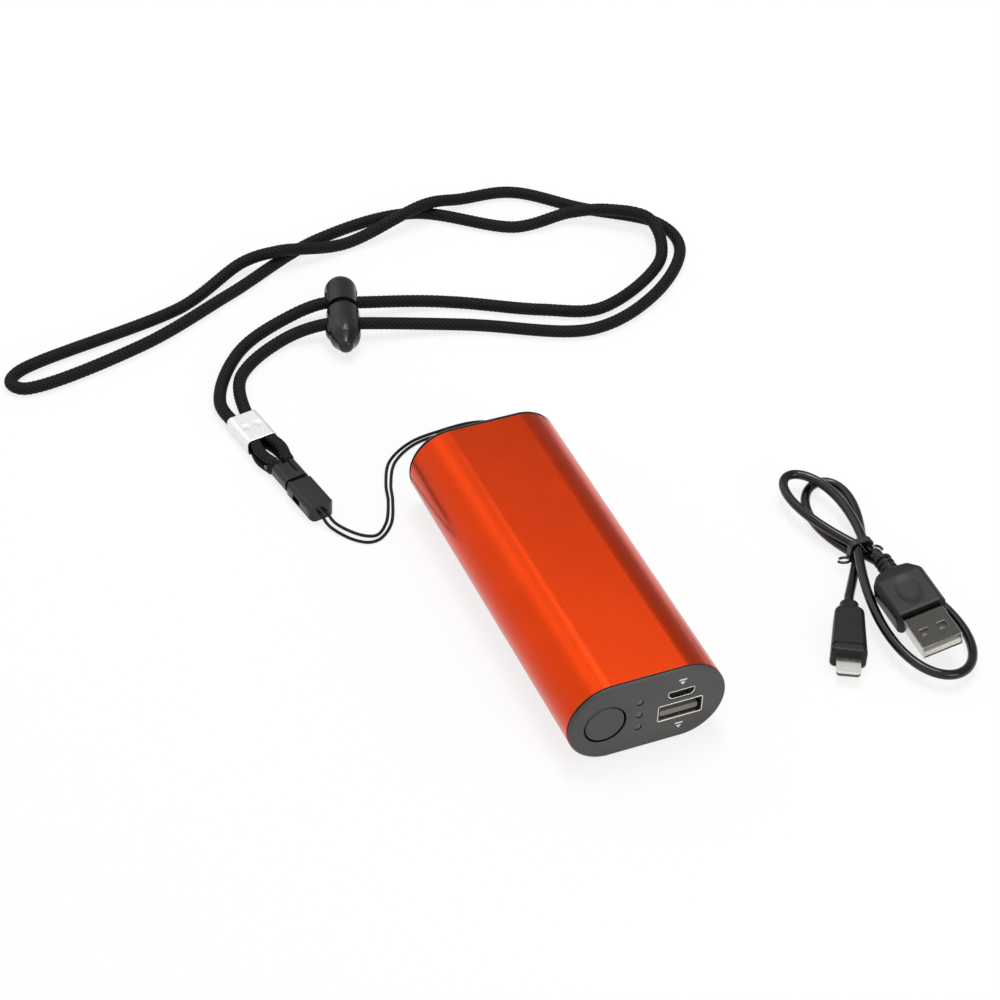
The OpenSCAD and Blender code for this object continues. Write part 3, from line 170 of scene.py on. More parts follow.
def leadRoute(lead):
    def run(side, height, end):
        x, y = lead["tie"]
        return np.array((x + side * lead["runGap"] / 2, y + end * lead["tieHalf"], height))

    def behind(place, distance):
        return np.array(place @ Vector((0, distance, 0)))

    low, high, bare = lead["low"], lead["high"], lead["diameter"]
    microOut = behind(microFrame, lead["microEnd"] + bare)
    usbOut = behind(usbFrame, lead["usbEnd"] + bare)
    microWay = (microOut - behind(microFrame, 0)) / (lead["microEnd"] + bare)
    usbWay = (usbOut - behind(usbFrame, 0)) / (lead["usbEnd"] + bare)
    wide, thin, lower = (np.array(lead[loop], float) for loop in ("wide", "thin", "lower"))
    points = np.vstack([
        behind(microFrame, lead["microEnd"]), microOut,
        handledCurve(microOut, lead["microPull"] * microWay, (0, -lead["microPull"], 0), run(-1, low, -1)),
        run(-1, low, 1), handledCurve(run(-1, low, 1), *wide, run(1, low, 1)),
        run(1, low, -1), handledCurve(run(1, low, -1), *lower, run(-1, high, -1)),
        run(-1, high, 1), handledCurve(run(-1, high, 1), *thin, run(1, high, 1)),
        run(1, high, -1),
        handledCurve(run(1, high, -1), (0, -lead["usbPull"], 0), lead["usbPull"] / 2 * usbWay, usbOut),
        behind(usbFrame, lead["usbEnd"]),
    ])
    return evenlySpaced(points, lead["ringGap"])


# How bluntly a strand of the braid is crowned, and how far it sinks where its neighbour crosses it
braid = {"blunt": 0.7, "sink": 0.5}


def braidRelief(around, along, strands, pitch):
    # Two families of strands cross over and under; each visible one is a small crowned lozenge
    a = strands * around + along / pitch
    b = strands * around - along / pitch
    crownA, crownB = np.sin(np.pi * (a % 1)), np.sin(np.pi * (b % 1))
    firstOnTop = (np.floor(a) + np.floor(b)) % 2 < 1
    over, under = np.where(firstOnTop, (crownA, crownB), (crownB, crownA))
    return over ** braid["blunt"] * (1 - braid["sink"] * (1 - under))


def addTube(name, cord, points, along):
    # Rings square to the route, carried along it without twist
    ahead = np.gradient(points, axis=0)
    ahead /= np.linalg.norm(ahead, axis=1)[:, None]
    side = np.zeros_like(points)
    side[0] = np.cross(ahead[0], (0, 0, 1))
    for i in range(1, len(points)):
        side[i] = side[i - 1] - ahead[i] * (side[i - 1] @ ahead[i])
        side[i] /= np.linalg.norm(side[i])
    side[0] /= np.linalg.norm(side[0])
    up = np.cross(side, ahead)
    count = cord["sides"]
    around = np.arange(count) / count
    radius = np.full((len(points), count), cord["diameter"] / 2)
    if "relief" in cord:
        crown = braidRelief(around[None, :], along[:, None], cord["strands"], cord["strandPitch"])
        radius -= cord["relief"] * (1 - crown)
    angle = 2 * np.pi * around[:, None]
    outward = np.cos(angle) * side[:, None, :] + np.sin(angle) * up[:, None, :]
    rings = (points[:, None, :] + radius[..., None] * outward) * mm
    first = np.arange(len(points) - 1)[:, None] * count
    k = np.arange(count)[None, :]
    after = (k + 1) % count
    walls = np.stack([first + k, first + after, first + count + after, first + count + k], axis=-1)
    walls = walls.reshape(-1, 4)
    ends = [list(range(count))[::-1], list(range((len(points) - 1) * count, len(points) * count))]
    mesh = bpy.data.meshes.new(name)
    mesh.from_pydata(rings.reshape(-1, 3).tolist(), [], walls.tolist() + ends)
    # The braid's map runs round the cord in turns and along it in millimetres
    ring, spot = np.divmod(np.arange(len(walls)), count)
    wallUv = np.zeros((len(walls), 4, 2))
    for corner, (step, row) in enumerate(((0, 0), (1, 0), (1, 1), (0, 1))):
        wallUv[:, corner, 0] = (spot + step) / count
        wallUv[:, corner, 1] = along[ring + row]
    uv = np.zeros((len(mesh.loops), 2))
    uv[:len(walls) * 4] = wallUv.reshape(-1, 2)
    mesh.uv_layers.new(name="braid").data.foreach_set("uv", uv.ravel())
    mesh.polygons.foreach_set("use_smooth", np.ones(len(mesh.polygons), bool))
    mesh.update()
    return addObject(name, mesh)


neckPoints, neckAlong = smoothRoute(neckCord)
stringPoints, stringAlong = smoothRoute(strapString)
leadPoints, leadAlong = leadRoute(chargingLead)
braidedCord = addTube("braidedNeckCord", neckCord, neckPoints, neckAlong)
thinString = addTube("thinStrapString", strapString, stringPoints, stringAlong)
leadCable = addTube("leadCable", chargingLead, leadPoints, leadAlong)
print("cords laid:", [round(float(way[-1]), 1) for way in (neckAlong, stringAlong, leadAlong)], "mm")


# Small helpers for pieces that are modelled in millimetres and placed by their frame
def addPiece(name, bm, place=Matrix()):
    bmesh.ops.transform(bm, matrix=Matrix.Scale(mm, 4) @ place, verts=bm.verts)
    mesh = bpy.data.meshes.new(name)
    bm.to_mesh(mesh)
    bm.free()
    return addObject(name, mesh)


def addLoop(bm, along, width, height, corner, quarter, across=(0, 0)):
    # A circle whose four quarters are moved apart makes any outline with round corners
    made = bmesh.ops.create_circle(bm, segments=4 * quarter, radius=corner)["verts"]
    bmesh.ops.rotate(bm, verts=made, matrix=Matrix.Rotation(math.pi / (4 * quarter), 3, "Z"))
    bmesh.ops.rotate(bm, verts=made, matrix=Matrix.Rotation(math.pi / 2, 3, "X"))
    for vert in made:
        vert.co.x += math.copysign(width / 2 - corner, vert.co.x) + across[0]
        vert.co.z += math.copysign(height / 2 - corner, vert.co.z) + across[1]
        vert.co.y = along
    # Each edge once and in a fixed order, so that every run gives the same mesh
    return list(dict.fromkeys(edge for vert in made for edge in vert.link_edges))


def loft(bm, sections, quarter, ring=False, across=(0, 0)):
    # Sections are (along, width, height, corner); a ring goes back to its first one, so it has an inner wall
    loops = [addLoop(bm, *section, quarter=quarter, across=across) for section in sections]
    pairs = list(zip(loops, loops[1:] + loops[:1]))
    for one, other in pairs if ring else pairs[:-1]:
        bmesh.ops.bridge_loops(bm, edges=one + other)
    if not ring:
        bmesh.ops.edgeloop_fill(bm, edges=loops[0])
        bmesh.ops.edgeloop_fill(bm, edges=loops[-1])
    bmesh.ops.recalc_face_normals(bm, faces=bm.faces)


def oval(along, wide, high):
    return along, wide, high, high / 2


def disc(along, across):
    return oval(along, across, across)


def quarterRound(radius, steps):
    # Points of a rounded edge, as their distances in from its two faces
    for i in range(steps + 1):
        angle = math.pi / 2 * i / steps
        yield radius * (1 - math.sin(angle)), radius * (1 - math.cos(angle))


def turnRound(bm, outline, steps=96):
    # Spins (radius, along) points about the Y axis
    verts = [bm.verts.new((radius, along, 0)) for radius, along in outline]
    edges = [bm.edges.new(pair) for pair in zip(verts, verts[1:])]
    bmesh.ops.spin(bm, geom=verts + edges, cent=(0, 0, 0), axis=(0, 1, 0), angle=2 * math.pi, steps=steps,
                   use_merge=True)
    bmesh.ops.remove_doubles(bm, verts=bm.verts, dist=weld)
    bmesh.ops.recalc_face_normals(bm, faces=bm.faces)


def addPlate(bm, corners, rounding, start, end):
    # A flat outline in X and Z with its corners rounded, made solid from start to end along Y
    before = set(bm.faces)
    verts = [bm.verts.new((x, start, z)) for x, z in corners]
    bm.faces.new(verts)
    if rounding:
        bmesh.ops.bevel(bm, geom=verts, offset=rounding, segments=5, profile=0.5, affect="VERTICES",
                        material=-1)
    made = bmesh.ops.extrude_face_region(bm, geom=[face for face in bm.faces if face not in before])["geom"]
    moved = [part for part in made if isinstance(part, bmesh.types.BMVert)]
    bmesh.ops.translate(bm, vec=(0, end - start, 0), verts=moved)
    bmesh.ops.holes_fill(bm, edges=[edge for edge in bm.edges if edge.is_boundary])
    bmesh.ops.recalc_face_normals(bm, faces=bm.faces)


def settle(piece):
    done = bpy.data.meshes.new_from_object(piece.evaluated_get(bpy.context.evaluated_depsgraph_get()))
    piece.modifiers.clear()
    piece.data = done


def combine(piece, others, operation="DIFFERENCE"):
    for other in others:
        join = piece.modifiers.new("combine", "BOOLEAN")
        join.solver = "EXACT"
        join.operation = operation
        join.object = other
    settle(piece)
    for other in others:
        bpy.data.objects.remove(other)


def finishEdges(piece, width, segments=2, angle=38):
    # Moulded and rolled edges are never knife sharp
    piece.data.polygons.foreach_set("use_smooth", np.ones(len(piece.data.polygons), bool))
    piece.data.set_sharp_from_angle(angle=math.radians(angle))
    if width:
        edge = piece.modifiers.new("edge", "BEVEL")
        edge.width = width * mm
        edge.segments = segments
        edge.limit_method = "ANGLE"
        edge.angle_limit = math.radians(angle)
        edge.miter_outer = "MITER_ARC"
        edge.use_clamp_overlap = True
        edge.harden_normals = False
    even = piece.modifiers.new("even", "WEIGHTED_NORMAL")
    even.keep_sharp = not width
    return piece


def copyOfNode(node, name, width, segments=2, angle=38, flat=1.5):
    # A merged copy of a solid's mesh, its flat faces made whole so that its edges can be rounded
    bm = bmesh.new()
    bm.from_mesh(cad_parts[node].data)
    bmesh.ops.transform(bm, matrix=Matrix.Scale(1 / mm, 4), verts=bm.verts)
    bmesh.ops.remove_doubles(bm, verts=bm.verts, dist=weld)
    bmesh.ops.dissolve_limit(bm, angle_limit=math.radians(flat), verts=bm.verts, edges=bm.edges)
    piece = finishEdges(addPiece(name, bm), width, segments, angle)
    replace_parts(piece, node)
    return piece


# The tube is one extrusion, cut square at both ends
bm = bmesh.new()
outerWide, outerHigh = warmer["width"], warmer["thickness"]
innerWide, innerHigh = outerWide - 2 * warmer["wall"], outerHigh - 2 * warmer["wall"]
loft(bm, [oval(-tubeEnd, outerWide, outerHigh), oval(tubeEnd, outerWide, outerHigh),
          oval(tubeEnd, innerWide, innerHigh), oval(-tubeEnd, innerWide, innerHigh)], ring=True, quarter=40)
aluminiumTube = finishEdges(addPiece("aluminiumTube", bm, atMiddle), width=0.1)
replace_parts(aluminiumTube, "shell")
print("tube made")

button = {"diameter": 11.4, "gap": 0.45, "across": -12.5, "depth": 3, "edge": 0.5, "flange": 0.9,
          "flangePlay": 0.05, "stem": 3, "stemLength": 0.6, "dish": 0.12}
lights = {"diameter": 1.8, "play": 0.1, "pitch": 4.5, "across": -2.6, "length": 4.8, "set": 0.22,
          "edge": 0.15, "edgeDeep": 0.1,
          "webWidth": 2.2, "webThickness": 0.9, "webCorner": 0.45, "webPlay": 0.1}
usbPort = {"width": 13.2, "height": 5.7, "depth": 14, "wall": 0.3, "corner": 0.55, "across": 9.6, "up": 10.5,
           "gap": 0.12, "set": 0.02, "lip": 0.1, "roll": 0.35}
microPort = {"width": 8, "height": 2.8, "depth": 5.6, "wall": 0.3, "corner": 0.45, "innerCorner": 0.25,
             "across": 9.6, "up": 16.35, "gap": 0.12, "set": 0.1, "slope": 0.36}
strapPocket = {"diameter": 6.4, "depth": 4.4, "boss": 9.6, "bossDepth": 5.6, "across": 10.5}


def microOutline(grow):
    w, h = microPort["width"] / 2 + grow, microPort["height"] / 2 + grow
    cut = microPort["height"] * microPort["slope"]
    return [(-w, h), (w, h), (w, cut - h), (w - cut, -h), (cut - w, -h), (-w, cut - h)]


def capBlank(end):
    # Plate with a rounded edge and a seam groove beside the seal, coloured dark later as painted shade;
    # behind it, the plug and skirt inside the tube
    plugWide, plugHigh = innerWide - 2 * warmer["plugPlay"], innerHigh - 2 * warmer["plugPlay"]
    skirtWide, skirtHigh = plugWide - 2 * warmer["skirtWall"], plugHigh - 2 * warmer["skirtWall"]
    seamLong, seamDeep = warmer["seam"]
    seamWide, seamHigh = outerWide - 2 * seamDeep, outerHigh - 2 * seamDeep
    skirtEnd = tubeEnd - warmer["skirt"]
    sections = [oval(capFace - warmer["capThickness"], skirtWide, skirtHigh),
                oval(skirtEnd, skirtWide, skirtHigh), oval(skirtEnd, plugWide, plugHigh),
                oval(capSeat, plugWide, plugHigh), oval(capSeat, seamWide, seamHigh),
                oval(capSeat + seamLong, seamWide, seamHigh), oval(capSeat + seamLong, outerWide, outerHigh)]
    sections += [oval(capFace - back, outerWide - 2 * less, outerHigh - 2 * less)
                 for back, less in quarterRound(warmer["capEdge"], 8)]
    bm = bmesh.new()
    loft(bm, [(end * along, *outline) for along, *outline in sections], quarter=32)
    return bm


def cutter(sections, across, quarter=16):
    bm = bmesh.new()
    loft(bm, sections, quarter=quarter, across=across)
    return addPiece("cutter", bm)


def outlineCutter(corners, rounding, start, end, across):
    bm = bmesh.new()
    addPlate(bm, corners, rounding, start, end)
    return addPiece("cutter", bm, Matrix.Translation((across[0], 0, across[1])))


def addFrontCap():
    cap = addPiece("frontCap", capBlank(-1), atMiddle)
    through = (-capFace - overrun, -capFace + warmer["openingDepth"])
    hole = button["diameter"] + 2 * button["gap"]
    lightHole = lights["diameter"] + 2 * lights["play"]
    portWide, portHigh = usbPort["width"] + 2 * usbPort["gap"], usbPort["height"] + 2 * usbPort["gap"]
    cutters = [cutter([disc(y, hole) for y in through], (button["across"], midHeight), 24)]
    cutters += [cutter([disc(y, lightHole) for y in through],
                       (lights["across"], midHeight + i * lights["pitch"]), 12) for i in (-1, 0, 1)]
    cutters.append(cutter([(y, portWide, portHigh, usbPort["corner"]) for y in through],
                          (usbPort["across"], usbPort["up"]), 6))
    cutters.append(outlineCutter(microOutline(microPort["gap"]), microPort["corner"], *through,
                                 (microPort["across"], microPort["up"])))
    combine(cap, cutters)
    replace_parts(finishEdges(cap, width=0.12, segments=3), "front_cap")
    return cap


def addRearCap():
    cap = addPiece("rearCap", capBlank(1), atMiddle)
    at = (strapPocket["across"], midHeight)
    bossSpan = (capFace - strapPocket["bossDepth"], capFace - warmer["capEdge"])
    pocketSpan = (capFace - strapPocket["depth"], capFace + overrun)
    combine(cap, [cutter([disc(y, strapPocket["boss"]) for y in bossSpan], at)], "UNION")
    combine(cap, [cutter([disc(y, strapPocket["diameter"]) for y in pocketSpan], at)])
    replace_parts(finishEdges(cap, width=0.2, segments=3), "rear_cap")
    return cap


frontCap = addFrontCap()
rearCap = addRearCap()
print("caps made")


def addButton():
    r, edge, dish = button["diameter"] / 2, button["edge"], button["dish"]
    flange, stem, back = r + button["flange"], button["stem"] / 2, button["depth"]
    under, stemEnd = warmer["capThickness"] + button["flangePlay"], back + button["stemLength"]
    # Radius, and depth behind the cap's face, from the middle of the dish to the end of the stem
    outline = [(r * share, dish * (1 - share ** 2)) for share in (0, 0.3, 0.6, 0.8)]
    outline += [(r - less, deep) for less, deep in quarterRound(edge, 5)]
    outline += [(r, under), (flange, under), (flange, back), (stem, back), (stem, stemEnd), (0, stemEnd)]
    bm = bmesh.new()
    turnRound(bm, [(radius, deep - capFace) for radius, deep in outline])
    piece = addPiece("powerButton", bm, Matrix.Translation((button["across"], 0, midHeight)))
    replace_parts(finishEdges(piece, width=0), "power_button")
    return piece


def addLightGuide():
    wide, webWide, webCorner = lights["diameter"], lights["webWidth"], lights["webCorner"]
    front, webFront = lights["set"] - capFace, warmer["capThickness"] + lights["webPlay"] - capFace
    webTall, webBack = 2 * lights["pitch"] + webWide, webFront + lights["webThickness"]
    bm = bmesh.new()
    for i in (-1, 0, 1):
        loft(bm, [disc(front, wide - 2 * lights["edge"]), disc(front + lights["edgeDeep"], wide),
                  disc(lights["length"] - capFace, wide)], quarter=10, across=(0, i * lights["pitch"]))
    loft(bm, [(y, webWide, webTall, webCorner) for y in (webFront, webBack)], quarter=4)
    piece = addPiece("lightGuide", bm, Matrix.Translation((lights["across"], 0, midHeight)))
    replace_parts(finishEdges(piece, width=0), "light_guide")
    return piece


def addUsbPort():
    wide, high, wall, corner = usbPort["width"], usbPort["height"], usbPort["wall"], usbPort["corner"]
    front, back = usbPort["set"] - capFace, usbPort["set"] - capFace + usbPort["depth"]
    lip, roll = usbPort["lip"], usbPort["roll"]
    # Place, growth of the outline and of its corners: up the inner wall, over the rolled lip, back outside
    steps = [(back - wall, -2 * wall, -wall), (front + roll, -2 * wall, -wall),
             (front + roll / 3, -1.9 * wall, -wall), (front, -1.5 * wall, -wall / 2), (front, lip, lip / 2),
             (front + roll / 4, 2 * lip, lip), (front + roll, 2 * lip, lip),
             (front + roll + lip, 0, 0), (back, 0, 0)]
    bm = bmesh.new()
    loft(bm, [(y, wide + more, high + more, corner + turn) for y, more, turn in steps], quarter=6)
    piece = addPiece("usbPortShell", bm, Matrix.Translation((usbPort["across"], 0, usbPort["up"])))
    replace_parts(finishEdges(piece, width=0.09), "usb_a_socket")
    return piece


def addMicroPort():
    front, back = microPort["set"] - capFace, microPort["set"] - capFace + microPort["depth"]
    bm = bmesh.new()
    addPlate(bm, microOutline(0), microPort["corner"], front, back)
    shell = addPiece("microPortShell", bm, Matrix.Translation((microPort["across"], 0, microPort["up"])))
    hollow = outlineCutter(microOutline(-microPort["wall"]), microPort["innerCorner"], front - overrun,
                           back - microPort["wall"], (microPort["across"], microPort["up"]))
    combine(shell, [hollow])
    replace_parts(finishEdges(shell, width=0.08), "micro_usb_socket")
    return shell


powerButton = addButton()
lightGuide = addLightGuide()
usbPortShell = addUsbPort()
microPortShell = addMicroPort()
print("button, lights and ports made")

# Small printed marks: an arrow under a bar at each port, with the heights of the two
portMarks = {"depth": 0.02, "proud": 0.015, "arrow": (1.5, 1.05), "arrowCorner": 0.06,
             "bar": (2.3, 0.45), "barCorner": 0.08, "heights": ((20.2, 21.4), (4.1, 5.4))}


def addMarks():
    bm = bmesh.new()
    span = (-capFace - portMarks["proud"], -capFace + portMarks["depth"])
    w, h = portMarks["arrow"][0] / 2, portMarks["arrow"][1] / 2
    arrow = [(-w, h), (w, h), (0, -h)]
    w, h = portMarks["bar"][0] / 2, portMarks["bar"][1] / 2
    bar = [(-w, -h), (w, -h), (w, h), (-w, h)]
    for arrowUp, barUp in portMarks["heights"]:
        for outline, up, corner in ((arrow, arrowUp, "arrowCorner"), (bar, barUp, "barCorner")):
            addPlate(bm, [(usbPort["across"] + x, up + z) for x, z in outline], portMarks[corner], *span)
    return finishEdges(addPiece("portMarks", bm), width=0)


marks = addMarks()

# Strap, buckle and crimp
wraps = {"width": 3.3, "thickness": 1.7, "corner": 0.75, "across": 2.4, "bar": 12.35, "barDiameter": 1.6,
         "play": 0.1, "end": 27.3, "bow": 0.9, "bowEnd": 22.3, "flatSteps": 24, "bendSteps": 16}
crimp = {"from": 22.3, "length": 12.7, "width": 10.1, "thickness": 5.6, "wall": 0.35, "corner": 1.5,
         "dent": 0.08, "dentDiameter": 3.4, "dentAcross": 2.0, "seam": 0.4, "steps": 30, "cuts": 23}


def addWraps():
    # Each flattened cord end goes under the bar, round it and back on top
    middle = wraps["barDiameter"] / 2 + wraps["play"] + wraps["thickness"] / 2
    flat = np.linspace(0, wraps["end"] - wraps["bar"], wraps["flatSteps"])[:-1]
    bend = np.linspace(-math.pi / 2, math.pi / 2, wraps["bendSteps"])
    line = np.vstack([
        np.column_stack([wraps["bar"] + flat[::-1], np.full(len(flat), -middle)]),
        np.column_stack([wraps["bar"] - middle * np.cos(bend), middle * np.sin(bend)]),
        np.column_stack([wraps["bar"] + flat, np.full(len(flat), middle)]),
    ])
    ahead = np.gradient(line, axis=0)
    gone = np.concatenate([[0], np.cumsum(np.linalg.norm(np.diff(line, axis=0), axis=1))])
    turn = math.pi * neckCord["diameter"]
    woven = {}
    bm = bmesh.new()
    for side in (-1, 1):
        loops = []
        for (y, z), (dy, dz), along in zip(line, ahead, gone):
            edges = addLoop(bm, 0, wraps["width"], wraps["thickness"], wraps["corner"], quarter=6)
            verts = list({vert for edge in edges for vert in edge.verts})
            woven.update({vert: (vert.co.x / turn, along) for vert in verts})
            tilt = Matrix.Rotation(math.atan2(dz, dy), 4, "X")
            share = min(1, max(0, (y - wraps["bar"]) / (wraps["bowEnd"] - wraps["bar"])))
            x = side * (wraps["across"] + wraps["bow"] * math.sin(math.pi * share))
            bmesh.ops.transform(bm, matrix=Matrix.Translation((x, y, z)) @ tilt, verts=verts)
            loops.append(edges)
        for one, other in zip(loops, loops[1:]):
            bmesh.ops.bridge_loops(bm, edges=one + other)
        bmesh.ops.edgeloop_fill(bm, edges=loops[0])
        bmesh.ops.edgeloop_fill(bm, edges=loops[-1])
    bmesh.ops.recalc_face_normals(bm, faces=bm.faces)
    braidMap = bm.loops.layers.uv.new("braid")
    for face in bm.faces:
        for corner in face.loops:
            corner[braidMap].uv = woven[corner.vert]
    piece = addPiece("cordWraps", bm, strapFrame)
    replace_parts(finishEdges(piece, width=0), "cord_wraps")
    return piece


def addCrimp():
    wide, high, wall, corner = crimp["width"], crimp["thickness"], crimp["wall"], crimp["corner"]
    start, end = crimp["from"], crimp["from"] + crimp["length"]
    middle, dentRadius = (start + end) / 2, crimp["dentDiameter"] / 2
    outer = [(y, wide, high, corner) for y in np.linspace(start, end, crimp["steps"] + 1)]
    inner = [(y, wide - 2 * wall, high - 2 * wall, corner - wall) for y, *_ in reversed(outer)]
    bm = bmesh.new()
    loft(bm, outer + inner, ring=True, quarter=8)
    long = [edge for edge in bm.edges if abs(edge.verts[0].co.x - edge.verts[1].co.x) > wide / 2]
    bmesh.ops.subdivide_edges(bm, edges=long, cuts=crimp["cuts"], use_grid_fill=True)
    for vert in bm.verts:
        if vert.co.z > 0:
            for side in (-1, 1):
                away = math.hypot(vert.co.x - side * crimp["dentAcross"], vert.co.y - middle)
                vert.co.z -= crimp["dent"] * max(0, 1 - (away / dentRadius) ** 2) ** 1.5
    piece = addPiece("crimpShell", bm, strapFrame)
    seam = bmesh.new()
    seamSize = Matrix.Diagonal((crimp["seam"], 2 * crimp["length"], high / 2, 1))
    bmesh.ops.create_cube(seam, size=1, matrix=Matrix.Translation((0, middle, -high / 2)) @ seamSize)
    combine(piece, [addPiece("cutter", seam, strapFrame)])
    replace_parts(finishEdges(piece, width=0.08), "cord_crimp")
    return piece


cordWraps = addWraps()
crimpShell = addCrimp()
buckleSocket = copyOfNode("buckle_socket", "buckleSocket", width=0.22, segments=3)
buckleClip = copyOfNode("buckle_clip", "buckleClip", width=0.16)
print("buckle and crimp made")

lockBarrel = copyOfNode("lock_barrel", "lockBarrel", width=0.18, angle=45, flat=0.5)
lockButton = copyOfNode("lock_button", "lockButton", width=0.18, angle=45, flat=0.5)
print("cord lock made")

# Plugs and tie of the lead. Rounded ends are (distance from the end, taken off each side), the micro plug's
# neck is (distance behind the grip, wider, higher), and a rib is (place, taken off the strain relief)
microPlug = {"width": 10.2, "height": 7, "length": 19.5, "corner": 1.6, "rear": 0.8, "taperFrom": 0.8,
             "belly": 8, "frontRound": ((0, 0.8), (0.12, 0.45), (0.4, 0.15), (0.8, 0)),
             "rearRound": ((2.4, 0), (1.5, 0.15), (0.7, 0.5), (0.2, 1), (0, 1.3)),
             "groove": 0.25, "grooveAt": 2.6, "grooveWidth": 0.7, "grooveEdge": 0.12,
             "neckWide": 5.4, "neckHigh": 4.4, "neckCorner": 1.5,
             "neck": ((0, 0.4, 0.3), (0.8, 0, 0), (2.3, 0, 0), (3, -0.6, -0.5), (3.2, -1.4, -1.2))}
usbPlug = {"width": 15.6, "height": 8, "from": 12.5, "length": 18.5, "corner": 2.2, "taper": 4,
           "bodySteps": 14, "shoulder": (0.72, 0.9), "rear": (6, 5.6, 1.8), "soft": 0.45, "softOver": 30,
           "dishLong": 10.5, "dishWide": 6.6, "dish": 0.25, "dishAt": 0.42, "dishRim": (1.1, 0.3),
           "dishCuts": 19, "relief": 5.4, "reliefTip": 4.2, "ribs": 3, "ribPitch": 2, "coreDeep": 0.3,
           "core": (0.12, 1.1), "rib": ((1.2, 0.2), (1.35, 0), (1.85, 0), (2, 0.2))}


def addMicroGrip():
    length, groove, edge = microPlug["length"], microPlug["groove"], microPlug["grooveEdge"]
    grooveStart, grooveEnd = microPlug["grooveAt"], microPlug["grooveAt"] + microPlug["grooveWidth"]
    taperFrom = microPlug["taperFrom"]

    def section(y, less=0):
        taper = (1 - microPlug["rear"]) * max(y - taperFrom, 0) / (length - taperFrom)
        wide = microPlug["width"] * (1 - taper)
        return (y, wide - 2 * less, microPlug["height"] - 2 * less, microPlug["corner"])

    sections = [section(y, less) for y, less in microPlug["frontRound"]]
    sections += [section(grooveStart), section(grooveStart + edge, groove), section(grooveEnd, groove),
                 section(grooveEnd + edge), section(microPlug["belly"])]
    sections += [section(length - back, less) for back, less in microPlug["rearRound"]]
    sections += [(length + back, microPlug["neckWide"] + wider, microPlug["neckHigh"] + higher,
                  microPlug["neckCorner"]) for back, wider, higher in microPlug["neck"]]
    bm = bmesh.new()
    loft(bm, sections, quarter=8)
    piece = addPiece("microPlugGrip", bm, microFrame)
    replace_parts(finishEdges(piece, width=0, angle=50), "micro_plug_grip")
    return piece


def addUsbGrip():
    wide, high, corner = usbPlug["width"], usbPlug["height"], usbPlug["corner"]
    start, end = usbPlug["from"], usbPlug["from"] + usbPlug["length"]
    body, steps = end - usbPlug["taper"] - start, usbPlug["bodySteps"]
    narrower, lower = usbPlug["shoulder"]
    sections = [(start + body * i / steps, wide, high, corner) for i in range(steps + 1)]
    sections += [(end - usbPlug["taper"] / 4, wide * narrower, high * lower, corner), (end, *usbPlug["rear"])]
    bm = bmesh.new()
    loft(bm, sections, quarter=2)
    topFrom = high / 2 - usbPlug["dish"] - weld
    top = [edge for edge in bm.edges if min(vert.co.z for vert in edge.verts) > topFrom
           and abs(edge.verts[0].co.x - edge.verts[1].co.x) > wide / 3]
    bmesh.ops.subdivide_edges(bm, edges=top, cuts=usbPlug["dishCuts"], use_grid_fill=True)
    middle = start + usbPlug["length"] * usbPlug["dishAt"]
    rimAt, rimWide = usbPlug["dishRim"]
    for vert in bm.verts:
        if vert.co.z > topFrom:
            away = math.hypot(vert.co.x / usbPlug["dishWide"], (vert.co.y - middle) / usbPlug["dishLong"]) * 2
            vert.co.z -= usbPlug["dish"] * min(1, max(0, (rimAt - away) / rimWide))
    bmesh.ops.recalc_face_normals(bm, faces=bm.faces)
    least = math.radians(usbPlug["softOver"])
    folds = [edge for edge in bm.edges if edge.is_manifold and edge.calc_face_angle() > least]
    bmesh.ops.bevel(bm, geom=folds, offset=usbPlug["soft"], segments=4, profile=0.5, affect="EDGES",
                    material=-1, clamp_overlap=True)
    relief, slimmer = usbPlug["relief"], usbPlug["relief"] - usbPlug["reliefTip"]
    sections = [disc(end - overrun, relief), disc(end, relief)]
    for i in range(usbPlug["ribs"]):
        ribStart = end + i * usbPlug["ribPitch"]
        core = relief - slimmer * (i + 0.5) / usbPlug["ribs"] - usbPlug["coreDeep"]
        sections += [disc(ribStart + along, core) for along in usbPlug["core"]]
        sections += [disc(ribStart + along, relief - less) for along, less in usbPlug["rib"]]
    loft(bm, sections, quarter=8)
    piece = addPiece("usbPlugGrip", bm, usbFrame)
    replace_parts(finishEdges(piece, width=0, angle=50), "usb_plug_grip")
    return piece


microPlugGrip = addMicroGrip()
usbPlugGrip = addUsbGrip()
usbPlugShell = copyOfNode("usb_plug_shell", "usbPlugShell", width=0.14, segments=3)
microPlugShell = copyOfNode("micro_plug_shell", "microPlugShell", width=0.06, angle=25)
cableTie = copyOfNode("cable_tie", "cableTie", width=0.1)
print("plugs and tie made")


# Colours are written as a paint chart gives them and made linear here
def linear(colour):
    parts = [int(colour[i:i + 2], 16) / 255 for i in (1, 3, 5)]
    return [p / 12.92 if p <= 0.04045 else ((p + 0.055) / 1.055) ** 2.4 for p in parts] + [1]


def addNode(tree, kind, inputs=(), **settings):
    node = tree.nodes.new(kind)
    for name, value in settings.items():
        setattr(node, name, value)
    for socket, value in dict(inputs).items():
        if isinstance(value, bpy.types.NodeSocket):
            tree.links.new(value, node.inputs[socket])
        else:
            node.inputs[socket].default_value = value
    return node


def newSurface(name, **constants):
    material = bpy.data.materials.new(name)
    material.use_nodes = True
    tree = material.node_tree
    shader = tree.nodes["Principled BSDF"]
    for socket, value in constants.items():
        shader.inputs[socket.replace("_", " ")].default_value = value
    return material, tree, shader


# The noise in every finish: its slow drifts in a metre, and the ranges that its values mostly keep to
noise = {"driftsPerMetre": 60, "toneRange": (0.12, 0.4), "gritRange": (0.3, 0.7)}
# The thread in a strand of a braid: its share of the relief, and the height from which the painted sheen on
# its crowns takes the lighter colour
thread = {"relief": 0.16, "paintedSheenFrom": 0.9}


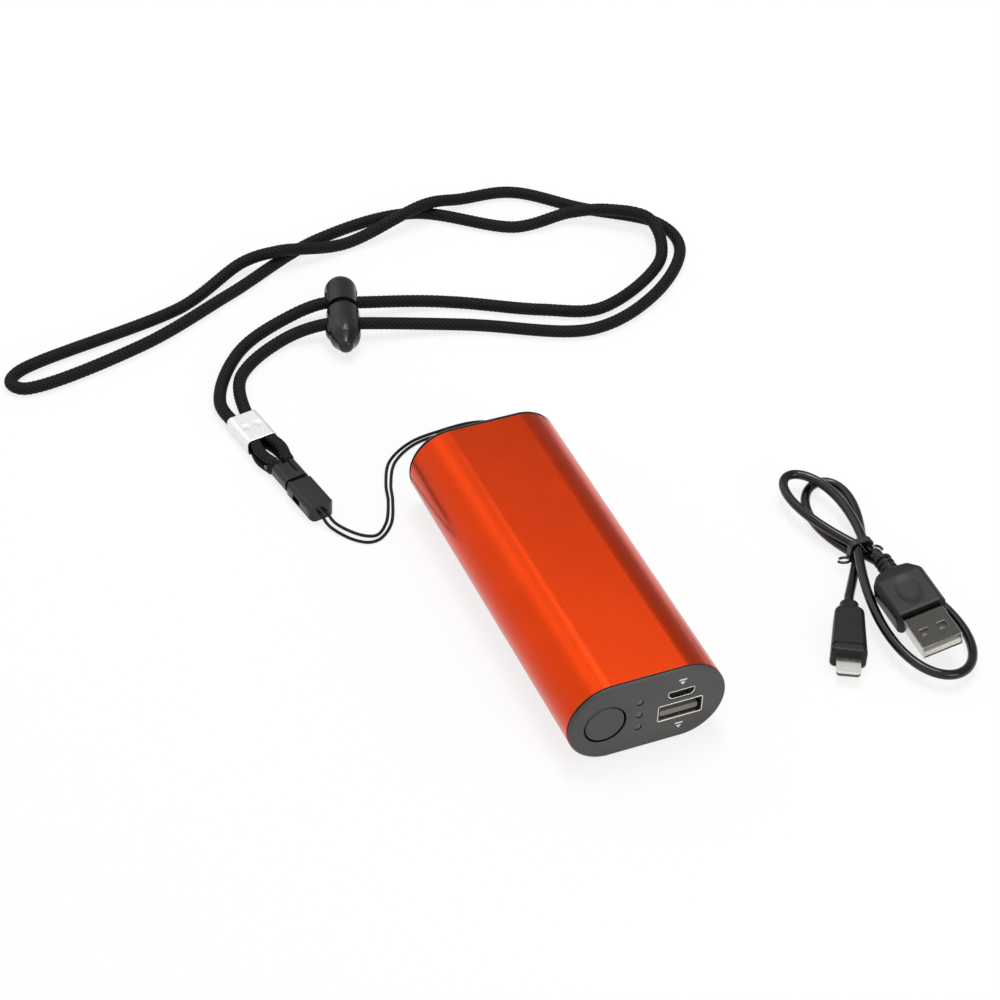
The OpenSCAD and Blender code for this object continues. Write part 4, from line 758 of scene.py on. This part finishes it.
def colourAndLift(tree, shader, tone, light, dark, height, depth):
    mix = addNode(tree, "ShaderNodeMix", {0: tone, 6: linear(dark), 7: linear(light)}, data_type="RGBA")
    lift = addNode(tree, "ShaderNodeBump", {"Height": height, "Distance": depth * mm, "Strength": 1})
    tree.links.new(mix.outputs[2], shader.inputs["Base Color"])
    tree.links.new(lift.outputs[0], shader.inputs["Normal"])


def grainedSurface(name, light, dark, roughness, grain, bump, stretch=(1, 1, 1), spread=0.06, **constants):
    # Fine grain of that many millimetres, with a slow drift of tone across the piece
    material, tree, shader = newSurface(name, **constants)
    place = addNode(tree, "ShaderNodeTexCoord").outputs["Object"]
    fine = addNode(tree, "ShaderNodeMapping", {"Vector": place, "Scale": [s / (grain * mm) for s in stretch]})
    grit = addNode(tree, "ShaderNodeTexNoise", {"Vector": fine.outputs[0], "Scale": 1, "Detail": 4,
                                                "Roughness": 0.6})
    drift = addNode(tree, "ShaderNodeTexNoise", {"Vector": place, "Scale": noise["driftsPerMetre"],
                                                 "Detail": 2})
    tone = addNode(tree, "ShaderNodeMath", {0: grit.outputs[0], 1: drift.outputs[0]}, operation="MULTIPLY")
    low, high = noise["toneRange"]
    ramp = addNode(tree, "ShaderNodeMapRange", {"Value": tone.outputs[0], "From Min": low, "From Max": high})
    low, high = noise["gritRange"]
    rough = addNode(tree, "ShaderNodeMapRange", {"Value": grit.outputs[0], "From Min": low, "From Max": high,
                                                 "To Min": roughness - spread, "To Max": roughness + spread})
    tree.links.new(rough.outputs[0], shader.inputs["Roughness"])
    colourAndLift(tree, shader, ramp.outputs[0], light, dark, grit.outputs[0], bump)
    return material


def braidedSurface(name, light, dark, strands, pitch, threads, depth, roughness, **constants):
    # The crossing strands are worked out from the cord's own map: around it in turns, along it in millimetres
    material, tree, shader = newSurface(name, **constants)
    cordMap = addNode(tree, "ShaderNodeUVMap", uv_map="braid").outputs[0]
    parts = addNode(tree, "ShaderNodeSeparateXYZ", {0: cordMap}).outputs
    around = addNode(tree, "ShaderNodeMath", {0: parts[0], 1: strands}, operation="MULTIPLY").outputs[0]
    along = addNode(tree, "ShaderNodeMath", {0: parts[1], 1: 1 / pitch}, operation="MULTIPLY").outputs[0]
    counts, crowns, yarns = [], [], []
    for operation in ("ADD", "SUBTRACT"):
        way = addNode(tree, "ShaderNodeMath", {0: around, 1: along}, operation=operation).outputs[0]
        within = addNode(tree, "ShaderNodeMath", {0: way}, operation="FRACT").outputs[0]
        for waves, turned, share in ((crowns, within, math.pi), (yarns, way, 2 * math.pi * threads)):
            angle = addNode(tree, "ShaderNodeMath", {0: turned, 1: share}, operation="MULTIPLY").outputs[0]
            waves.append(addNode(tree, "ShaderNodeMath", {0: angle}, operation="SINE").outputs[0])
        counts.append(addNode(tree, "ShaderNodeMath", {0: way}, operation="FLOOR").outputs[0])
    # The strand of the second way lies on top where the two counts make an odd sum
    both = addNode(tree, "ShaderNodeMath", {0: counts[0], 1: counts[1]}, operation="ADD").outputs[0]
    halved = addNode(tree, "ShaderNodeMath", {0: both, 1: 0.5}, operation="MULTIPLY").outputs[0]
    parity = addNode(tree, "ShaderNodeMath", {0: halved}, operation="FRACT").outputs[0]
    second = addNode(tree, "ShaderNodeMath", {0: parity, 1: 0.25}, operation="GREATER_THAN").outputs[0]
    yarn = addNode(tree, "ShaderNodeMix", {0: second, 2: yarns[0], 3: yarns[1]}).outputs[0]
    crown = addNode(tree, "ShaderNodeMath", {0: crowns[0], 1: crowns[1]}, operation="MULTIPLY").outputs[0]
    height = addNode(tree, "ShaderNodeMath", {0: yarn, 1: thread["relief"], 2: crown},
                     operation="MULTIPLY_ADD").outputs[0]
    # Painted shade and painted sheen: the colour follows the height, dark down in the grooves and lighter on
    # the crowns of strands and threads
    tone = addNode(tree, "ShaderNodeMapRange", {"Value": height, "From Max": thread["paintedSheenFrom"]}).outputs[0]
    colourAndLift(tree, shader, tone, light, dark, height, depth)
    shader.inputs["Roughness"].default_value = roughness
    return material


# Anodised extrusion: satin, with faint lines along its length and a colourless oxide skin that whitens aslant
anodisedOrange = grainedSurface("orangeAnodisedAluminium", "#D83F0D", "#D03B0C", 0.25, 0.2, 0.001,
                                (1, 0.03, 1), 0.02, Metallic=1, Coat_Weight=0.035, Coat_Roughness=0.25)
# Moulded ABS with a fine spark-eroded texture: dull, soft-edged highlights
texturedAbs = grainedSurface("darkTexturedAbs", "#4D4B49", "#403E3C", 0.5, 0.16, 0.012, spread=0.08,
                             Specular_IOR_Level=0.35)
# Painted shade: the hole walls and the seam of the same moulding are smooth, and coloured much darker than
# the face to stand for the shade that falls in them
darkAbsPaintedShade = grainedSurface("absSmoothWithPaintedShade", "#1C1B1B", "#161515", 0.34, 0.4, 0.003, Specular_IOR_Level=0.2)
# Nitrile rubber: dull black
nitrileRubber = grainedSurface("blackNitrileRubber", "#1E1D1C", "#131212", 0.75, 0.4, 0.01)
# Nickel-plated deep-drawn steel: bright, with faint drawing lines
platedSteel = grainedSurface("nickelPlatedSteel", "#D6D6D3", "#BFBFBC", 0.24, 0.2, 0.002, (1, 0.05, 1), 0.06,
                             Metallic=1)
# Painted reflection: the flats of the plug's shell are polished, and their nickel is coloured far darker than
# real nickel to stand for the dark part of the room they mirror; its edges, in the plated finish, mirror a
# bright one
nickelPaintedDarkReflection = grainedSurface("polishedNickelPaintedReflection", "#3B3A37", "#363532", 0.14, 0.8, 0.0005, spread=0.02,
                              Metallic=1)
# Zinc-plated steel: a cooler and duller grey than nickel
zincSteel = grainedSurface("zincPlatedSteel", "#C4C6C8", "#A9ACAE", 0.34, 0.25, 0.003, spread=0.08,
                           Metallic=1)
# Rolled tinplate: bright and streaked along the roll
rolledTinplate = grainedSurface("brightRolledTinplate", "#F6F6F5", "#EDEDEC", 0.27, 0.3, 0.001, (1, 0.06, 1),
                                0.03, Metallic=0.6)
# Glass-filled nylon of connector tongues: ivory, slightly waxy
ivoryNylon = grainedSurface("ivoryNylon", "#EFECE2", "#DDD9CB", 0.42, 0.3, 0.004)
# Painted shade: the socket's tongue is coloured a darker grey to stand for the shade of its shell
greyNylonPaintedShade = grainedSurface("greyNylonPaintedShade", "#7E786D", "#5F5A52", 0.45, 0.3, 0.004, (1, 0.2, 0.15))
# Moulded nylon parts inside: plain black with a fine bead-blast texture
blackNylon = grainedSurface("blackMouldedNylon", "#29292B", "#1B1B1D", 0.5, 0.2, 0.008)
# Polished acetal of the buckle and the cord lock: deep black, soft sharp highlights, slight flow marks
polishedAcetal = grainedSurface("blackPolishedAcetal", "#151516", "#0D0D0E", 0.25, 1.2, 0.002, spread=0.04,
                                Specular_IOR_Level=0.4)
# Moulded PVC of the plugs: slightly softer and greyer than the buckle
mouldedPvc = grainedSurface("blackMouldedPvc", "#19191A", "#101011", 0.38, 0.18, 0.007, spread=0.06,
                            Specular_IOR_Level=0.28)
# Extruded PVC jacket: an even, wet-looking black
extrudedPvc = grainedSurface("blackExtrudedPvc", "#090909", "#050505", 0.13, 0.8, 0.002, spread=0.03,
                             Specular_IOR_Level=0.42)
# Twist tie: paper-thin PVC over wire
tiePvc = grainedSurface("blackTiePvc", "#1A1A1B", "#101011", 0.4, 0.4, 0.01)
# Solder mask over woven glass: green and shiny, with a faint grain
solderMask = grainedSurface("greenSolderMask", "#1E6A3E", "#16502F", 0.3, 0.5, 0.004)
# Epoxy body of chips and ferrite: dull black
chipEpoxy = grainedSurface("blackChipEpoxy", "#2A2A2C", "#1C1C1E", 0.55, 0.1, 0.004)
# Sintered ferrite: grey and gritty
sinteredFerrite = grainedSurface("greySinteredFerrite", "#47474A", "#2F2F32", 0.65, 0.15, 0.012)
# Gold flash on contacts
goldFlash = grainedSurface("goldFlashedBronze", "#D9B25A", "#BE9440", 0.26, 0.2, 0.002, Metallic=1)
# Heat-shrunk PVC sleeve of the cells: smooth blue
shrinkSleeve = grainedSurface("blueShrinkSleeve", "#3579B5", "#27629A", 0.32, 1.5, 0.006)
# Polyimide film: amber, thin and shiny
polyimideFilm = grainedSurface("amberPolyimideFilm", "#C07A2E", "#A26222", 0.28, 1.0, 0.004)
# Silicone pad: soft grey, dull
siliconePad = grainedSurface("greySiliconePad", "#A5ACB2", "#8C9399", 0.7, 0.5, 0.012)
# Silicone wire jackets
siliconeWire = grainedSurface("redSiliconeWire", "#B92A20", "#97211A", 0.45, 0.6, 0.006)
paleWire = grainedSurface("paleGlassSleeve", "#E4E0D2", "#CFCABA", 0.55, 0.3, 0.01)
# Light pipe: smoke-tinted acrylic
smokedAcrylic = grainedSurface("smokedAcrylic", "#6A6967", "#605F5D", 0.22, 0.8, 0.001, spread=0.03,
                               Transmission_Weight=0.3, IOR=1.49)
# Pad-printed white ink
whiteInk = grainedSurface("whitePadPrint", "#E8E8E6", "#CFCFCC", 0.5, 0.12, 0.006)
# Both braids are coloured dark in their grooves and lighter on their crowns: painted shade and a painted
# sheen
# Polyester braid, sixteen strands round the cord; its threads are drawn twice as coarse as real ones, to show
braidedPolyester = braidedSurface("blackBraidedPolyester", "#202021", "#040405", neckCord["strands"],
                                  neckCord["strandPitch"], 3, 0.09, 0.6, Specular_IOR_Level=0.12)
# Thin nylon string, eight strands
braidedNylon = braidedSurface("blackBraidedNylon", "#15171A", "#050607", strapString["strands"],
                              strapString["strandPitch"], 2, 0.03, 0.5, Specular_IOR_Level=0.2)


def paint(piece, material):
    piece.data.materials.clear()
    piece.data.materials.append(material)


pieces = {
    aluminiumTube: (anodisedOrange, "warmer", "orange_anodized_aluminium"),
    frontCap: (texturedAbs, "warmer", "dark_cap_plastic"),
    rearCap: (texturedAbs, "warmer", "dark_cap_plastic"),
    powerButton: (texturedAbs, "button", "dark_cap_plastic"),
    lightGuide: (smokedAcrylic, "warmer", "clear_plastic"),
    usbPortShell: (platedSteel, "warmer", "nickel_steel"),
    microPortShell: (platedSteel, "warmer", "nickel_steel"),
    marks: (whiteInk, "warmer", None),
    thinString: (braidedNylon, "warmer", "black_cord"),
    buckleSocket: (polishedAcetal, "warmer", "black_gloss_plastic"),
    buckleClip: (polishedAcetal, "lanyard", "black_gloss_plastic"),
    cordWraps: (braidedPolyester, "lanyard", "black_cord"),
    crimpShell: (rolledTinplate, "lanyard", "bright_crimp_steel"),
    braidedCord: (braidedPolyester, "lanyard", "black_cord"),
    lockBarrel: (polishedAcetal, "lanyard", "black_gloss_plastic"),
    lockButton: (polishedAcetal, "lock_head", "black_gloss_plastic"),
    leadCable: (extrudedPvc, "warmer", "black_cable_jacket"),
    cableTie: (tiePvc, "warmer", "black_cable_jacket"),
    microPlugGrip: (mouldedPvc, "warmer", "black_plastic"),
    microPlugShell: (platedSteel, "warmer", "nickel_steel"),
    usbPlugGrip: (mouldedPvc, "warmer", "black_plastic"),
    usbPlugShell: (platedSteel, "warmer", "nickel_steel"),
}
for piece, (material, body, slot) in pieces.items():
    paint(piece, material)
    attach(piece, body)


# Where the darker second material goes: painted shade on the caps, a painted dark reflection on the plug's
# flats
paintedDarkFrom = {"sideways": 0.2, "insideEdge": 2, "behindEdge": 0.01, "flat": 0.9}


# The caps' faces that take the painted shade: hole walls, and everything behind the rounded edge
def seamOrHoleWithPaintedShade(face):
    x, y, z = (abs(part) / mm for part in face.center - atMiddle.translation * mm)
    sideways, rim = abs(face.normal.y) < paintedDarkFrom["sideways"], paintedDarkFrom["insideEdge"]
    holeWall = sideways and x < outerWide / 2 - rim and z < outerHigh / 2 - rim
    return holeWall or y < capFace - warmer["capEdge"] - paintedDarkFrom["behindEdge"]


# Painted reflection: the top and bottom flats of the plug's shell take the darkened nickel
def onFlat(face):
    return abs(face.normal @ usbFrame.col[2].xyz) > paintedDarkFrom["flat"]


# A second, darker material goes on some faces: painted shade on the caps' seams and hole walls, and a painted
# dark reflection on the flats of the plug's shell
for piece, finish, chosen in ((frontCap, darkAbsPaintedShade, seamOrHoleWithPaintedShade), (rearCap, darkAbsPaintedShade, seamOrHoleWithPaintedShade),
                              (usbPlugShell, nickelPaintedDarkReflection, onFlat)):
    piece.data.materials.append(finish)
    for face in piece.data.polygons:
        face.material_index = int(chosen(face))

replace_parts(braidedCord, "neck_cord")
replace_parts(thinString, "strap_string")
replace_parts(leadCable, "charging_cable")

nodeFinish = {
    nitrileRubber: ("front_seal", "rear_seal"),
    ivoryNylon: ("tact_plunger", "charge_leds", "battery_connector", "micro_plug_tongue", "usb_plug_insert"),
    # The socket's tongue takes the grey with painted shade
    greyNylonPaintedShade: ("usb_a_tongue",),
    blackNylon: ("tact_switch", "micro_usb_tongue", "cell_bracket_front", "cell_bracket_rear",
                 "temperature_sensor"),
    solderMask: ("button_board", "main_board"),
    goldFlash: ("usb_a_contacts",),
    chipEpoxy: ("power_chips",),
    sinteredFerrite: ("inductor",),
    zincSteel: ("board_screws", "strap_pin", "lock_spring"),
    shrinkSleeve: ("cell_left", "cell_right"),
    platedSteel: ("cell_strip_front", "cell_strip_rear"),
    polyimideFilm: ("heater_top", "heater_bottom"),
    siliconePad: ("heat_pad_top", "heat_pad_bottom"),
    siliconeWire: ("battery_leads",),
    paleWire: ("heater_leads",),
}
for material, names in nodeFinish.items():
    for name in names:
        paint(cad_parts[name], material)
print("materials set")

studio = {"floor": 6000, "floorDrop": 0.05, "floorColour": "#F4F4F4", "floorWhite": 0.8, "world": 0.55,
          "brightSide": (-0.7, 0, 0.7), "dim": 0.44, "dimTo": 0.2, "bright": 1.05, "brightFrom": 0.5}
# Place, aim, size and watts of each lamp
lamps = {
    "overhead": ((100, 200, 1400), (0, 60, 0), (700, 700), 7.5),
    "strip": ((180, 520, 1300), (0, 60, 0), (110, 520), 2.4),
    "backLeft": ((-360, 1000, 960), (0, 40, 0), (420, 900), 0.5),
    "backRight": ((590, 1120, 1560), (0, 40, 0), (760, 560), 1.1),
    "frontFill": ((500, -1300, 700), (0, 0, 0), (900, 700), 6),
}


def seenDirectly(tree):
    # What the camera sees, and what metal and clear plastic show of it
    path = addNode(tree, "ShaderNodeLightPath").outputs
    either = addNode(tree, "ShaderNodeMath", {0: path["Is Camera Ray"], 1: path["Is Glossy Ray"]},
                     operation="MAXIMUM").outputs[0]
    return addNode(tree, "ShaderNodeMath", {0: either, 1: path["Is Transmission Ray"]},
                   operation="MAXIMUM").outputs[0]


def addFloor():
    bm = bmesh.new()
    bmesh.ops.create_grid(bm, x_segments=1, y_segments=1, size=studio["floor"] / 2)
    floor = addPiece("floor", bm, Matrix.Translation((0, 0, -studio["floorDrop"])))
    material, tree, shader = newSurface("paleStudioFloor", Roughness=0.9, Specular_IOR_Level=0.1)
    shader.inputs["Base Color"].default_value = linear(studio["floorColour"])
    white = addNode(tree, "ShaderNodeEmission", {"Color": (1, 1, 1, 1), "Strength": 1}).outputs[0]
    share = addNode(tree, "ShaderNodeMath", {0: seenDirectly(tree), 1: studio["floorWhite"]},
                    operation="MULTIPLY").outputs[0]
    mix = addNode(tree, "ShaderNodeMixShader", {0: share, 1: shader.outputs[0], 2: white})
    tree.links.new(mix.outputs[0], tree.nodes["Material Output"].inputs["Surface"])
    paint(floor, material)


def addLamp(name, place, target, size, watts):
    lamp = bpy.data.lights.new(name, "AREA")
    lamp.shape = "RECTANGLE"
    lamp.size, lamp.size_y = size[0] * mm, size[1] * mm
    lamp.energy = watts
    aim = (Vector(target) - Vector(place)).to_track_quat("-Z", "Y")
    addObject(name, lamp).matrix_world = Matrix.Translation(Vector(place) * mm) @ aim.to_matrix().to_4x4()


def addWorld():
    world = bpy.data.worlds.new("studio")
    bpy.context.scene.world = world
    world.use_nodes = True
    tree = world.node_tree
    dim = tree.nodes["Background"]
    dim.inputs["Color"].default_value = (1, 1, 1, 1)
    dim.inputs["Strength"].default_value = studio["world"]
    # Metal mirrors a room that is bright over it and to its left, and dim to its right; the camera sees white
    toward = addNode(tree, "ShaderNodeTexCoord").outputs["Generated"]
    side = addNode(tree, "ShaderNodeVectorMath", {0: toward, 1: studio["brightSide"]},
                   operation="DOT_PRODUCT").outputs["Value"]
    room = addNode(tree, "ShaderNodeMapRange",
                   {"Value": side, "From Min": studio["dimTo"], "From Max": studio["brightFrom"],
                    "To Min": studio["dim"], "To Max": studio["bright"]}, interpolation_type="SMOOTHSTEP")
    seen = addNode(tree, "ShaderNodeLightPath").outputs["Is Camera Ray"]
    share = addNode(tree, "ShaderNodeMath", {0: room.outputs[0], 1: seen}, operation="MAXIMUM").outputs[0]
    white = addNode(tree, "ShaderNodeBackground", {"Color": (1, 1, 1, 1), "Strength": share}).outputs[0]
    mix = addNode(tree, "ShaderNodeMixShader", {0: seenDirectly(tree), 1: dim.outputs[0], 2: white})
    tree.links.new(mix.outputs[0], tree.nodes["World Output"].inputs["Surface"])


addFloor()
addWorld()
for name, facts in lamps.items():
    addLamp(name, *facts)
bpy.context.scene.view_settings.view_transform = "Standard"
print("studio set")
